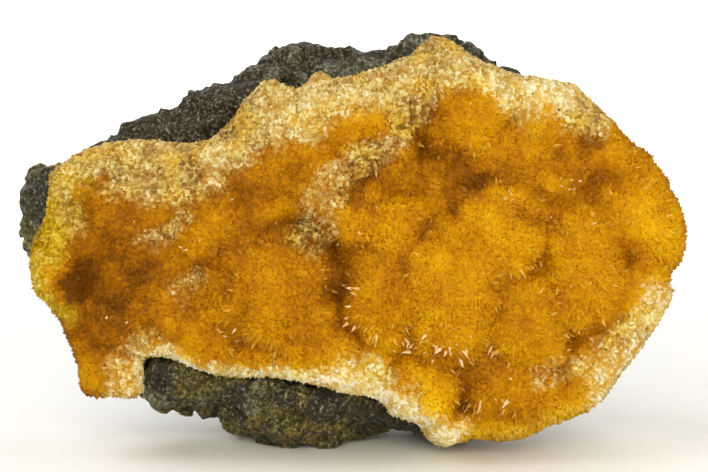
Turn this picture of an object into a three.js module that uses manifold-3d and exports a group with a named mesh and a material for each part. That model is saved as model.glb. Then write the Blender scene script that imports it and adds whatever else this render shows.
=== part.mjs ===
// A hand-sized cabinet specimen: a crust of golden dogtooth calcite, grown as rounded
// sprays of pointed crystals on one face of a broken slab of dark basalt-like rock.
//
// The slab is drawn in its own frame, in millimetres: u runs across it, v up it, and w
// out of the crystal face. It is then stood up on its broken foot, leaning back a little.

import * as THREE from 'three';
import { ConvexHull } from 'three/addons/math/ConvexHull.js';
import { mergeVertices } from 'three/addons/utils/BufferGeometryUtils.js';
import Module from 'manifold-3d';

const wasm = await Module();
wasm.setup();

// Placing
const leanBack = THREE.MathUtils.degToRad(8);
const toBaseCentre = new THREE.Vector3(0.82, -7.32, 0);

// The bed: the low dome of rock that the calcite grew on
const bedEdge = -2;
const bedRise = 7;
const bedCentre = { u: 0, v: 37, halfWidth: 64, halfHeight: 44 };

// Crust, with its heights above the bed
const groundThickness = 7.2;
const rimThickness = 2.2;
const rimRound = { lowV: 15, low: 5, highV: 50, high: 8.5 };
const rimUndercut = 1.6;
const sprayBase = 6.4;
const sprayFall = 0.22;
const sprayEdge = 0.85;
const sprayEdgeFall = 1.5;

// Crystals
const crystalSpacing = 2.5;
const rimSpacing = 2.4;
const crystalHeight = { low: 1.3, high: 2.5 };
const grainHeight = { low: 0.5, high: 1.1 };
const edgeCrystalHeight = { low: 0.9, high: 1.9 };
const edgeForward = 0.25;
const grainRim = 2.6;
const fanOut = 0.3;
const crystalWander = 0.4;
const crystalRoomShare = 0.5;

// Rock
const rockSpacing = 3.7;
const rockRimSpacing = 3.4;
const rockEdgeDrop = 4.5;
const edgeDropReach = { from: -0.5, to: 3 };
const rockEdgeThickness = 8;
const rockWallRows = 3;
const rockWallPits = { low: 0.3, high: 1.9 };
const rockFaceRound = 4;
const rockBackRound = 8;
const rockBackCentreV = 36;
const rockRoughness = { front: 0.9, back: 1.5 };
const footShoulder = { height: 3, reach: 6, belowV: 20 };

// Where the crust sits in the rock
const bedSpacing = 6;
const growthGap = 0.35;
const roomBesideCrust = 0.35;
const roomBesidePoints = 0.8;
const farInFront = 60;

// Broken stone: broad swells, level ledges and small pits, by width, height and relief
const stoneSwell = { wide: 11, tall: 9, relief: 1.1 };
const stoneLedge = { wide: 6, tall: 4.5, relief: 1.2, steps: 2.5 };
const stonePit = { wide: 3.1, tall: 3.1, relief: 0.7 };

// Scattering: tries for each place, the room kept at the edge, and the bowl that sorts the net
const triesForEachPlace = 30;
const edgeRoomShare = 0.75;
const bowlWidth = 40;

// Outline of the crust, clockwise from its upper left corner [u, v]
const crustOutline = [
  [-53, 49.5], [-46.5, 53.8], [-39, 54.8], [-28, 54], [-23, 57], [-20.5, 61.8], [-14.5, 65.3],
  [-10, 63.3], [-7, 66.3], [-3, 65], [4, 68], [9.5, 70], [13, 71.5], [17.5, 72], [20.5, 70],
  [26, 67.5], [32, 65.5], [38.5, 64.2], [43, 59.8], [47.8, 54.2], [51.3, 51.7], [54.3, 47.3],
  [56.8, 42], [57.4, 37], [56.6, 33], [54.8, 31], [55.1, 28], [53.4, 23.5], [50.1, 18.5],
  [46.4, 13.5], [42.4, 8.8], [37, 6], [33, 4.8], [30, 3.3], [26, 2.5], [22.5, 2.2], [20, 2],
  [16.5, 0.7], [13, 2.4], [9, 5.8], [4, 9.4], [-3.5, 11.9], [-11.5, 13.1], [-21, 13.7], [-27, 14.6],
  [-33, 17], [-36.8, 16.2], [-37.6, 10.6], [-42.5, 9.7], [-47.2, 10.4], [-48.7, 15],
  [-51.3, 21.5], [-53.3, 25.7], [-55.7, 28.2], [-56.4, 33], [-55.6, 37.5], [-53.6, 40.2], [-52.6, 45],
];

// Outline of the rock: it stands clear of the crust along the top, at the left corner and
// along the foot, and stays behind it everywhere else
const rockOutline = [
  [-60.2, 43], [-60, 48.6], [-58.3, 50.4], [-54.5, 50.8], [-50, 53.2], [-44.5, 55.9], [-40.5, 57.7],
  [-36, 59.1], [-31, 62.1], [-24.5, 64.7], [-20, 66.5], [-16, 70.4], [-13.5, 72], [-10, 72.6],
  [-3, 71.8], [3.5, 70.8], [8.5, 73.6], [13, 74.7], [18.5, 74], [24, 70.5], [28.5, 67.2],
  [34, 62.5], [42, 56.5], [49, 49.5], [52.5, 41], [52, 32.5], [48.5, 24.5], [42, 16], [34, 10],
  [26.5, 6], [20.5, 3.6], [17, 1.4], [14.2, -0.2], [10.6, 1], [5.5, 1.2], [0.5, -0.2], [-4.4, -0.6],
  [-9.8, -1.4], [-15, -1.4], [-18.5, 1], [-21.3, 2.4], [-22.9, 4.3], [-24.8, 6.5], [-31, 6.1],
  [-34.2, 6.7], [-36.6, 8], [-38, 9.6], [-40, 13], [-45, 18], [-50, 23], [-54.5, 28], [-58.4, 32.3],
  [-59.3, 35.5], [-60, 38.5],
];

// Sprays of crystals [u, v, radius, height above the crust]
const sprays = [
  [-1.5, 56.5, 4.5, 3], [5, 56.5, 4.5, 3], [-12, 50, 6.5, 3.5], [18.5, 58, 6.5, 5.5],
  [30.5, 56.5, 5.5, 3], [27, 50, 7.5, 4.5], [43.5, 52, 5, 4], [50, 47.5, 4, 3.5],
  [25, 38.5, 6.5, 6], [16.5, 30.5, 7.5, 7], [16.5, 22.5, 5, 6], [5, 28, 6, 6],
  [7, 39, 4.5, 5], [-0.5, 41.5, 4.5, 5], [37.5, 34.5, 6.5, 6.5], [37.5, 28.5, 5, 5.5],
  [46.5, 41, 6, 5], [53.5, 37.5, 4, 3.5], [47.5, 29.5, 5, 4], [28.5, 24, 6, 6],
  [30.5, 19, 4, 5], [12.5, 12.5, 4.5, 5], [22, 14, 5, 4.5], [29, 12.5, 4.5, 5],
  [37, 12, 4.5, 4], [35, 8.5, 3.5, 3], [25.5, 6, 3.5, 3], [-13, 28.5, 8, 7.5],
  [-22.5, 27, 4.5, 5], [-19.5, 34.5, 4.5, 4.5], [-32, 24, 5, 5], [-25.5, 21, 4.5, 5],
  [-41.5, 22.5, 5.5, 3.5], [-44, 14.5, 5.5, 4.5], [-6, 18.5, 5.5, 5], [-16, 19, 4.5, 4.5],
  [-24, 40.5, 5.5, 5], [-17, 39.5, 4, 3.5], [-40, 42, 6, 3.5], [-35, 35.5, 5, 3.5],
  [-32, 29.5, 4.5, 4], [-52, 38.5, 4, 4], [-52, 31, 4, 4], [-5, 45.5, 4, 4.5],
  [-1, 50, 4, 3.5], [5, 51.5, 3.5, 3.5], [9.5, 56.5, 3.5, 4],
];

// Hollows between the sprays [u, v, radius, depth]
const hollows = [
  [-46, 32.5, 4, 4.5], [-3.5, 34.5, 2.5, 3], [-2.5, 29, 2.5, 3], [17.5, 9.5, 2.5, 3],
  [32.5, 33.5, 2.2, 3], [45, 35.5, 3, 2.5], [12, 53, 3, 3.5], [15, 47, 5.5, 2],
  [36, 20, 3, 2.5], [8, 18.5, 3, 2.5], [-10.5, 40, 3.5, 2], [-28, 33, 3, 1.5], [41.7, 47.2, 3, 1.5],
  [34.9, 14.1, 2.2, 1.5],
];

// Bands of pale blocky grains [u, v, radius]
const grainPatches = [
  [-46, 50, 5], [-36, 51, 6], [-28, 50, 6], [-20, 56, 6], [-12, 60, 7], [-3, 61, 6], [6, 63, 6],
  [14, 66, 7], [24, 64, 6], [32, 61, 5], [40, 60, 5], [-5, 46, 3.5], [-1, 50, 3.5], [5, 52, 3],
  [9.5, 57, 3.5], [50, 24, 5], [44, 14, 5], [-20, 15, 3], [-10, 14, 3], [0, 12, 4], [9, 8, 4],
  [-53, 42, 4], [16, 4, 3.5],
];

// Lumps on the front of the rock [u, v, half width, half height, height]
const rockLumps = [
  [-12, 8, 9, 8, 5.5], [-30.5, 12, 7, 6, 4], [2, 7.5, 9, 5, 3.5], [-55, 45, 5, 6, 2.5],
];

// Stretches of the crust's edge whose crystals show against the background
const spikyStretches = [
  { lowU: 41, highU: 70, lowV: 27, highV: 61 },
  { lowU: 24, highU: 70, lowV: -10, highV: 12 },
  { lowU: -70, highU: -44, lowV: 0, highV: 29 },
];

// Flat broken faces on the back of the rock [depth at the middle, slope across, slope up]
const backFaces = [
  [22.9, 0.02, -0.05], [33.4, 0.32, -0.2], [32.4, -0.3, -0.16], [40.4, 0.1, -0.52], [27.4, 0.16, 0.3],
];

const stone = new THREE.MeshStandardMaterial({ color: 0x4a463c, roughness: 0.95, metalness: 0 });
const calcite = new THREE.MeshStandardMaterial({ color: 0xcf8a12, roughness: 0.4, metalness: 0 });

function seededRandom(seed) {
  let state = seed;
  return () => {
    state = (state + 0x6d2b79f5) | 0;
    let bits = Math.imul(state ^ (state >>> 15), 1 | state);
    bits = (bits + Math.imul(bits ^ (bits >>> 7), 61 | bits)) ^ bits;
    return ((bits ^ (bits >>> 14)) >>> 0) / 4294967296;
  };
}

// A smooth random surface: values at whole numbers, joined by smooth steps
function latticeNoise(x, y, seed) {
  const value = (column, row) => {
    const wave = Math.sin(column * 127.1 + row * 311.7 + seed * 74.7) * 43758.5453;
    return (wave - Math.floor(wave)) * 2 - 1;
  };
  const column = Math.floor(x);
  const row = Math.floor(y);
  const across = THREE.MathUtils.smoothstep(x - column, 0, 1);
  const up = THREE.MathUtils.smoothstep(y - row, 0, 1);
  const low = THREE.MathUtils.lerp(value(column, row), value(column + 1, row), across);
  const high = THREE.MathUtils.lerp(value(column, row + 1), value(column + 1, row + 1), across);
  return THREE.MathUtils.lerp(low, high, up);
}

function stoneNoise(u, v, seed) {
  const noise = (form, number) => latticeNoise(u / form.wide, v / form.tall, seed + number);
  const ledges = Math.round(noise(stoneLedge, 1) * stoneLedge.steps) / stoneLedge.steps;
  const swell = stoneSwell.relief * noise(stoneSwell, 0);
  const pits = stonePit.relief * noise(stonePit, 2);
  return swell + stoneLedge.relief * ledges + pits;
}

function between(range, random) {
  return range.low + (range.high - range.low) * random();
}

// A closed outline, sampled evenly along a smooth curve through its points
function sampleOutline(corners, spacing) {
  const points = corners.map(([u, v]) => new THREE.Vector3(u, v, 0));
  const curve = new THREE.CatmullRomCurve3(points, true, 'centripetal');
  const count = Math.round(curve.getLength() / spacing);
  return curve.getSpacedPoints(count).slice(0, count).map((point) => new THREE.Vector2(point.x, point.y));
}

function isInside(outline, u, v) {
  let inside = false;
  outline.forEach((here, index) => {
    const next = outline[(index + 1) % outline.length];
    const crosses = (here.y > v) !== (next.y > v);
    if (crosses && u < ((next.x - here.x) * (v - here.y)) / (next.y - here.y) + here.x) inside = !inside;
  });
  return inside;
}

function distanceToOutline(outline, u, v) {
  let nearest = Infinity;
  outline.forEach((here, index) => {
    const next = outline[(index + 1) % outline.length];
    const alongU = next.x - here.x;
    const alongV = next.y - here.y;
    const share = ((u - here.x) * alongU + (v - here.y) * alongV) / (alongU ** 2 + alongV ** 2);
    const held = THREE.MathUtils.clamp(share, 0, 1);
    nearest = Math.min(nearest, Math.hypot(u - here.x - alongU * held, v - here.y - alongV * held));
  });
  return nearest;
}

// The outline's points moved outwards by the distance for each, or inwards where it is negative
function growOutline(outline, distanceAt) {
  return outline.map((here, index) => {
    const before = outline[(index + outline.length - 1) % outline.length];
    const after = outline[(index + 1) % outline.length];
    const along = after.clone().sub(before).normalize();
    const distance = distanceAt(here);
    return new THREE.Vector2(here.x - along.y * distance, here.y + along.x * distance);
  });
}

// Points scattered over the inside of an outline, none closer together than the spacing
function scatterInside(outline, spacing, seed) {
  const random = seededRandom(seed);
  const box = new THREE.Box2().setFromPoints(outline);
  const size = box.getSize(new THREE.Vector2());
  const points = [];
  const tries = triesForEachPlace * (size.x / spacing) * (size.y / spacing);
  for (let attempt = 0; attempt < tries; attempt += 1) {
    const u = box.min.x + random() * size.x;
    const v = box.min.y + random() * size.y;
    const crowded = points.some((other) => Math.hypot(other.x - u, other.y - v) < spacing);
    if (crowded || !isInside(outline, u, v)) continue;
    if (distanceToOutline(outline, u, v) > spacing * edgeRoomShare) points.push(new THREE.Vector2(u, v));
  }
  return points;
}

// Triangles that join flat points into an even net: the points are lifted onto a bowl, and
// the underside of the bowl's hull gives the net
function netTriangles(points, outline) {
  const lifted = points.map((point) => new THREE.Vector3(point.x, point.y, point.lengthSq() / bowlWidth));
  const numbers = new Map(lifted.map((point, index) => [point, index]));
  const triangles = [];
  new ConvexHull().setFromPoints(lifted).faces.forEach((face) => {
    if (face.normal.z >= 0) return;
    const corners = [0, 1, 2].map((turn) => numbers.get(face.getEdge(turn).head().point));
    const [a, b, c] = corners.map((corner) => points[corner]);
    if (!isInside(outline, (a.x + b.x + c.x) / 3, (a.y + b.y + c.y) / 3)) return;
    const turnsLeft = (b.x - a.x) * (c.y - a.y) - (b.y - a.y) * (c.x - a.x) > 0;
    triangles.push(turnsLeft ? corners : [corners[0], corners[2], corners[1]]);
  });
  return triangles;
}

// The outer edges of a net, each in the direction that its triangle runs
function netEdges(triangles) {
  const edges = new Map();
  triangles.forEach((corners) => {
    corners.forEach((start, index) => {
      const end = corners[(index + 1) % corners.length];
      if (edges.has(`${end},${start}`)) edges.delete(`${end},${start}`);
      else edges.set(`${start},${end}`, [start, end]);
    });
  });
  return [...edges.values()];
}

// A closed slab: a front and a back sheet on one net, joined by one or more rows of walls
function slabFaces(net, frontPoint, backPoint, wallRows = 1, wallPoint = undefined) {
  const vertices = [];
  const rows = [];
  const addRow = (placed) => {
    rows.push(vertices.length);
    vertices.push(...placed);
  };
  addRow(net.points.map(frontPoint));
  for (let row = 1; row < wallRows; row += 1) {
    addRow(net.points.slice(0, net.rimCount).map((point, index) => wallPoint(point, index, row / wallRows)));
  }
  addRow(net.points.map(backPoint));
  const front = net.triangles;
  const back = net.triangles.map(([a, b, c]) => [a, c, b].map((corner) => corner + rows[rows.length - 1]));
  const walls = [];
  netEdges(net.triangles).forEach(([start, end]) => {
    for (let row = 1; row < rows.length; row += 1) {
      const [above, below] = [rows[row - 1], rows[row]];
      walls.push([start + above, start + below, end + below, end + above]);
    }
  });
  return { vertices, front, back, walls };
}

function makeNet(outline, spacing, seed) {
  const points = [...outline, ...scatterInside(outline, spacing, seed)];
  return { points, rimCount: outline.length, triangles: netTriangles(points, outline), outline };
}

function toGeometry(vertices, faces) {
  const geometry = new THREE.BufferGeometry();
  const flat = vertices.flatMap((vertex) => [vertex.x, vertex.y, vertex.z]);
  geometry.setAttribute('position', new THREE.Float32BufferAttribute(flat, 3));
  geometry.setIndex(faces.flatMap((face) => (face.length === 3 ? face : [
    face[0], face[1], face[2], face[0], face[2], face[3],
  ])));
  return geometry;
}

function toSolid(geometry) {
  const merged = mergeVertices(geometry, 1e-4);
  return new wasm.Manifold(new wasm.Mesh({
    numProp: 3,
    vertProperties: new Float32Array(merged.attributes.position.array),
    triVerts: new Uint32Array(merged.index.array),
  }));
}

function fromSolid(solid) {
  const mesh = solid.getMesh();
  const geometry = new THREE.BufferGeometry();
  geometry.setAttribute('position', new THREE.Float32BufferAttribute(mesh.vertProperties, 3));
  geometry.setIndex(new THREE.Uint32BufferAttribute(mesh.triVerts, 1));
  return geometry;
}

function standUp(geometry) {
  geometry.rotateX(Math.PI / 2 - leanBack);
  geometry.translate(toBaseCentre.x, toBaseCentre.y, toBaseCentre.z);
  return geometry;
}

// The rock's face that the calcite grew on
function bedHeight(u, v) {
  const across = (u - bedCentre.u) / bedCentre.halfWidth;
  const up = (v - bedCentre.v) / bedCentre.halfHeight;
  return bedEdge + bedRise * Math.max(0, 1 - across ** 2 - up ** 2);
}

function roundedEdge(distance, radius) {
  return Math.sqrt(1 - (1 - Math.min(distance / radius, 1)) ** 2);
}

function spread([centreU, centreV, halfWidth, halfHeight], u, v) {
  return Math.exp(-(((u - centreU) / halfWidth) ** 2) - ((v - centreV) / halfHeight) ** 2);
}

function hollowDepth(u, v) {
  return hollows.reduce((total, [centreU, centreV, radius, depth]) => (
    total + depth * spread([centreU, centreV, radius, radius], u, v)
  ), 0);
}

// The spray that stands highest over a place, and its height there
function tallestSpray(u, v) {
  let tallest = { top: -Infinity, outwards: new THREE.Vector3() };
  sprays.forEach(([centreU, centreV, radius, height]) => {
    const outwards = new THREE.Vector3(u - centreU, v - centreV, 0).divideScalar(radius);
    const reach = outwards.length();
    const fall = radius * (sprayFall * reach ** 2 + sprayEdgeFall * Math.max(reach - sprayEdge, 0) ** 2);
    const top = bedHeight(centreU, centreV) + sprayBase + height - fall;
    if (top > tallest.top) tallest = { top, outwards };
  });
  return tallest;
}

function groundHeight(outline, u, v) {
  const heldV = THREE.MathUtils.clamp(v, rimRound.lowV, rimRound.highV);
  const round = THREE.MathUtils.mapLinear(heldV, rimRound.lowV, rimRound.highV, rimRound.low, rimRound.high);
  const fullness = roundedEdge(distanceToOutline(outline, u, v), round);
  return { fullness, ground: bedHeight(u, v) + rimThickness + (groundThickness - rimThickness) * fullness };
}

// The top of the crust without its crystals' points: a rounded rim, a low dome, and the
// sprays standing out of it as rounded bumps
function crustHeight(outline, u, v) {
  const { fullness, ground } = groundHeight(outline, u, v);
  const raised = Math.max(0, tallestSpray(u, v).top - ground);
  return ground + (raised - hollowDepth(u, v)) * fullness;
}

// Crystals fan out from the middle of the spray that they belong to
function fanDirection(outline, place) {
  const { ground } = groundHeight(outline, place.x, place.y);
  const { top, outwards } = tallestSpray(place.x, place.y);
  return top > ground ? outwards.multiplyScalar(fanOut) : outwards.set(0, 0, 0);
}

function isGrainy(u, v) {
  return grainPatches.some(([centreU, centreV, radius]) => Math.hypot(u - centreU, v - centreV) < radius);
}

function isSpikyEdge(place) {
  return spikyStretches.some(({ lowU, highU, lowV, highV }) => (
    place.x > lowU && place.x < highU && place.y > lowV && place.y < highV
  ));
}

// How far a point may rise out of a face before it meets what stands opposite
function roomAbove(centre, normal, centres) {
  let room = Infinity;
  centres.forEach((other) => {
    const apart = other.clone().sub(centre);
    const rise = apart.dot(normal);
    if (rise > 0.01) room = Math.min(room, apart.lengthSq() / (2 * rise));
  });
  return room;
}

// Crystals: each face is drawn out into a point, along the face's normal leant by the given
// direction, and at least a little forwards where that is asked for
function raiseCrystals(vertices, faces, heightOf, leanOf, forwards, random) {
  const middles = faces.map((face) => (
    face.reduce((sum, corner) => sum.add(vertices[corner]), new THREE.Vector3()).divideScalar(face.length)
  ));
  const crystals = [];
  faces.forEach((face, index) => {
    const [a, b, c] = face.map((corner) => vertices[corner]);
    const normal = b.clone().sub(a).cross(c.clone().sub(a)).normalize();
    normal.add(leanOf(middles[index]));
    normal.z = Math.max(normal.z, forwards);
    normal.normalize();
    const wanted = heightOf(middles[index]);
    if (wanted === 0) {
      crystals.push(face);
      return;
    }
    const height = Math.min(wanted, roomAbove(middles[index], normal, middles) * crystalRoomShare);
    const wander = new THREE.Vector3(random() - 0.5, random() - 0.5, random() - 0.5);
    const tip = vertices.length;
    vertices.push(middles[index].clone().addScaledVector(normal, height));
    vertices[tip].addScaledVector(wander, height * crystalWander);
    face.forEach((corner, turn) => crystals.push([corner, face[(turn + 1) % face.length], tip]));
  });
  return crystals;
}

function makeCrust(net) {
  const backRim = growOutline(net.outline, () => -rimUndercut);
  const backPoint = (point, index) => {
    const place = index < net.rimCount ? backRim[index] : point;
    return new THREE.Vector3(place.x, place.y, bedHeight(place.x, place.y));
  };
  const frontPoint = ({ x, y }) => new THREE.Vector3(x, y, crustHeight(net.outline, x, y));
  const slab = slabFaces(net, frontPoint, backPoint);
  const random = seededRandom(7);
  const faceHeight = (place) => {
    const byRim = distanceToOutline(net.outline, place.x, place.y) < grainRim && !isSpikyEdge(place);
    return between(byRim || isGrainy(place.x, place.y) ? grainHeight : crystalHeight, random);
  };
  const edgeHeight = (place) => (isSpikyEdge(place) ? between(edgeCrystalHeight, random) : 0);
  const faceLean = (place) => fanDirection(net.outline, place);
  const noLean = () => new THREE.Vector3();
  const points = raiseCrystals(slab.vertices, slab.front, faceHeight, faceLean, 0, random);
  const edges = raiseCrystals(slab.vertices, slab.walls, edgeHeight, noLean, edgeForward, random);
  return toGeometry(slab.vertices, [...points, ...edges, ...slab.back]);
}

// What the crust takes out of the rock: all that lies in front of the bed, with a hair of room
function makeCrustRoom(outline) {
  const net = makeNet(outline, bedSpacing, 29);
  const wide = growOutline(outline, (place) => (isSpikyEdge(place) ? roomBesidePoints : roomBesideCrust));
  const placeOf = (point, index) => (index < net.rimCount ? wide[index] : point);
  const backPoint = (point, index) => {
    const place = placeOf(point, index);
    return new THREE.Vector3(place.x, place.y, bedHeight(place.x, place.y) - growthGap);
  };
  const frontPoint = (point, index) => {
    const place = placeOf(point, index);
    return new THREE.Vector3(place.x, place.y, farInFront);
  };
  const slab = slabFaces(net, frontPoint, backPoint);
  return toGeometry(slab.vertices, [...slab.front, ...slab.walls, ...slab.back]);
}

function outsideCrust(crustRim, u, v) {
  return distanceToOutline(crustRim, u, v) * (isInside(crustRim, u, v) ? -1 : 1);
}

// The rock's front edge meets the crust where the crust covers it, and falls away elsewhere
function rockEdgeHeight(crustRim, u, v) {
  const outside = outsideCrust(crustRim, u, v);
  const fallen = THREE.MathUtils.smoothstep(outside, edgeDropReach.from, edgeDropReach.to);
  return bedHeight(u, v) + growthGap - rockEdgeDrop * fallen;
}

// The rock's bare front: lumps, ledges and pits, standing up against the crust's lower rim
function rockFrontHeight(outline, crustRim, u, v) {
  const fullness = roundedEdge(distanceToOutline(outline, u, v), rockFaceRound);
  const lump = rockLumps.reduce((total, form) => total + form[4] * spread(form, u, v), 0);
  const beside = 1 - THREE.MathUtils.smoothstep(outsideCrust(crustRim, u, v), 0, footShoulder.reach);
  const shoulder = v < footShoulder.belowV ? footShoulder.height * beside : 0;
  const face = bedHeight(u, v) + Math.max(lump, shoulder) + rockRoughness.front * stoneNoise(u, v, 3);
  return THREE.MathUtils.lerp(rockEdgeHeight(crustRim, u, v), face, fullness);
}

function rockBackHeight(outline, crustRim, u, v) {
  const fullness = roundedEdge(distanceToOutline(outline, u, v), rockBackRound);
  const depths = backFaces.map(([middle, across, up]) => middle + across * u + up * (v - rockBackCentreV));
  const back = rockRoughness.back * stoneNoise(u, v, 11) - Math.min(...depths);
  return THREE.MathUtils.lerp(rockEdgeHeight(crustRim, u, v) - rockEdgeThickness, back, fullness);
}

function makeRock(net, crustRim) {
  const random = seededRandom(23);
  const inwards = growOutline(net.outline, () => -1);
  const frontPoint = ({ x, y }) => new THREE.Vector3(x, y, rockFrontHeight(net.outline, crustRim, x, y));
  const backPoint = ({ x, y }) => new THREE.Vector3(x, y, rockBackHeight(net.outline, crustRim, x, y));
  const wallPoint = (point, index, share) => {
    const place = point.clone().lerp(inwards[index], between(rockWallPits, random));
    const level = rockEdgeHeight(crustRim, point.x, point.y) - rockEdgeThickness * share;
    return new THREE.Vector3(place.x, place.y, level);
  };
  const slab = slabFaces(net, frontPoint, backPoint, rockWallRows, wallPoint);
  const block = toSolid(standUp(toGeometry(slab.vertices, [...slab.front, ...slab.walls, ...slab.back])));
  const onFoot = block.trimByPlane([0, 0, 1], 0);
  return fromSolid(onFoot.subtract(toSolid(standUp(makeCrustRoom(crustRim)))));
}

const crustNet = makeNet(sampleOutline(crustOutline, rimSpacing), crystalSpacing, 5);
const rockNet = makeNet(sampleOutline(rockOutline, rockRimSpacing), rockSpacing, 17);

const crust = new THREE.Mesh(standUp(makeCrust(crustNet)), calcite);
crust.name = 'calcite_crust';
const rock = new THREE.Mesh(makeRock(rockNet, crustNet.outline), stone);
rock.name = 'matrix_rock';

const specimen = new THREE.Group();
specimen.add(rock, crust);

export default specimen;
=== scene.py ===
"""A calcite crystal cluster: golden dogtooth sprays on a slab of dark volcanic rock.

Lengths are in millimetres in the slab's own frame: u runs across it, v up it, and w out of
the crystal face. stand_up() turns them into metres in the row frame.
"""

import itertools
import math

import bpy
import numpy as np
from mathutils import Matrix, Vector
from mathutils.geometry import delaunay_2d_cdt


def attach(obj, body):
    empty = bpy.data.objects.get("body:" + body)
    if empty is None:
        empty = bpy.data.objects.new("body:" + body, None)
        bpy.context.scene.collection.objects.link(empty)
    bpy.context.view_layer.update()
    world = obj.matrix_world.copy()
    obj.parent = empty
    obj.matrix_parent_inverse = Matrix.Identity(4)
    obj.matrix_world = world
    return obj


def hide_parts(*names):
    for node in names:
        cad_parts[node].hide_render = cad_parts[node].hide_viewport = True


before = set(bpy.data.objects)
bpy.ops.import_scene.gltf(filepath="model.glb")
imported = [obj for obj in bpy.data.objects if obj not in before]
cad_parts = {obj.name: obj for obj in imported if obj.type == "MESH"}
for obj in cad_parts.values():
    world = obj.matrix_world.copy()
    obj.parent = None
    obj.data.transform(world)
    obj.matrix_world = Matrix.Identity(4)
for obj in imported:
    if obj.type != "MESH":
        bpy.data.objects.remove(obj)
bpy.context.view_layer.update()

MM = 0.001

# Placing: the slab leans back, and its base centre is at the origin
LEAN_BACK = math.radians(8)
TO_BASE_CENTRE = np.array([0.82, -7.32, 0.0])

# Noises are given as the size of their main bumps, how many layers they have, and a seed

# Crust: the rock's face under it, its thickness, its rounded rim, and the nets it is made of
BED_EDGE = -2.0
BED_RISE = 7.0
BED_CENTRE = (0.0, 37.0)
BED_HALF = (64.0, 44.0)
CRUST_THICKNESS = 7.0
GROUND_THICKNESS = 9.8
RIM_THICKNESS = 2.2
RIM_ROUND_TOP = 8.5
RIM_ROUND_FOOT = 5.0
RIM_ROUND_ZONE = (15, 50)
RIM_UNDERCUT = 1.6
RIM_INSET = 0.6
SET_IN_ROCK = 0.7
RIM_NOISE = (2.4, 2, 5)
RIM_RAGGED = 0.3
FRONT_NOISE = (1.8, 2, 9)
FRONT_RAGGED = 0.12
WALL_NOISE = (1.3, 2, 15)
WALL_RAGGED = 0.2
WALL_RINGS = (0.2, 0.4, 0.6, 0.8, 1.0)
WALL_BEND = 1.5
BACK_ZONE = 0.3
NET_SPACING = 0.5
FOOT_SPACING = 2.4
BACK_SPACING = 4.0

# The grid on which a place is set against its surroundings (low, high), and how far those reach
# The relief found on this grid sets the painted light and shade in the crust's tone
CAVITY_REACH = 2.6
CAVITY_STEP = 0.6
CAVITY_COLUMNS = (-64, 64)
CAVITY_ROWS = (-6, 80)

# A spray falls off slowly from its centre, faster at its edge, and its crystals fan out.
# The edge and its zone are shares of the spray's radius
SPRAY_FALL = 0.22
SPRAY_EDGE = 0.85
SPRAY_EDGE_FALL = 1.5
SPRAY_EDGE_ZONE = (0.62, 1.0)
SPRAY_ROOT = 1.1
SPRAY_NOISE = (2.6, 2, 33)
SPRAY_WANDER = 0.7
SPRAY_BLEND = 0.4
RAGGED_NOISES = ((2.8, 3, 35), (2.8, 3, 37))

# Small sprays over the whole crust
SMALL_SPACING = 3.1
SMALL_HEIGHT = (0.1, 0.55)
SMALL_WIDTH = (1.7, 2.9)
SMALL_LEAN = 0.4
SMALL_SHADE = 0.045

# Tone of the crust: where it starts, and what its relief, its ground and its foot add. Its relief adds
# painted light on the sprays and painted shade between them, its low ground painted shade, and its
# foot a lighter pale rim
TONE_START = 0.45
PAINTED_SHADING_OF_RELIEF = 0.11
RELIEF_LIMITS = (-2.2, 1.2)
TONE_NOISE = (7, 3, 21)
TONE_RAGGED = 0.16
# The low ground between the sprays is darker: painted shade
GROUND_PAINTED_SHADE = -0.05
FOOT_LIGHT = 0.4
FOOT_LIGHT_START = -38
FOOT_LIGHT_TOP = (30, 22)
FOOT_LIGHT_DEPTH = (7, 2)

# Crystals lean with their spray and with the surface, and blades lie down on it
FOLLOW_SPRAY = 0.75
FOLLOW_SURFACE = 0.45
BLADE_LIE = 0.75

# Teeth stand where the crust is steep and faces down, away from its rim, and points on the right rim
STEEP = (0.12, 0.4)
DOWNWARDS = (-0.1, 0.6)
RIM_ZONE = (1, 4)
INNER_ZONE = (1, 2.5)
RIM_POINTS_START = (36, 42)
RIM_POINTS_FOOT = 9
GLINTS_ELSEWHERE = 0.015

# Where the sprays' crystals are parted into three pieces (u)
SPRAY_PARTS = (-70, -22, 14, 70)

# Pale places fade in at their edges. The rim along the foot (u, width), and the rim on the right
PALE_NOISE = (3.2, 3, 41)
PALE_RAGGED = 1.1
PALE_BAND_FADE = (-3.2, 1.8)
PALE_RIDGE_FADE = (-1.0, 1.0)
FOOT_RIM_FADE = (-1.2, 0.8)
RIGHT_RIM_FADE = (-2.2, 2.2)
FOOT_RIM = [(-38, 1.8), (-20, 1.8), (-8, 2.6), (0, 3.8), (8, 3.2), (18, 3.0)]
FOOT_RIM_TOP = 22
RIGHT_RIM_WIDTH = 6.2
RIGHT_RIM_SHARE = 0.8
RIGHT_RIM_START = (38, 43)
RIGHT_RIM_TOP = (31, 28)
RIGHT_RIM_FOOT = 8

# Lemon-yellow rims on the left and at the lower right: where they fade in and out, and widths
LEMON_NOISE = (3, 3, 43)
LEMON_RAGGED = 1.6
LEMON_LEFT = (-42, -46)
LEMON_LEFT_FOOT = (21, 25)
LEMON_LEFT_TOP = (56, 48)
LEMON_LEFT_WIDTH = 4.5
LEMON_LEFT_WIDENS = 3
LEMON_LEFT_WIDER = (29, 36)
LEMON_RIGHT = (20, 25)
LEMON_RIGHT_TOP = (14, 10)
LEMON_RIGHT_WIDTH = 3.2
LEMON_RIGHT_SHARE = 0.4

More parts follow.
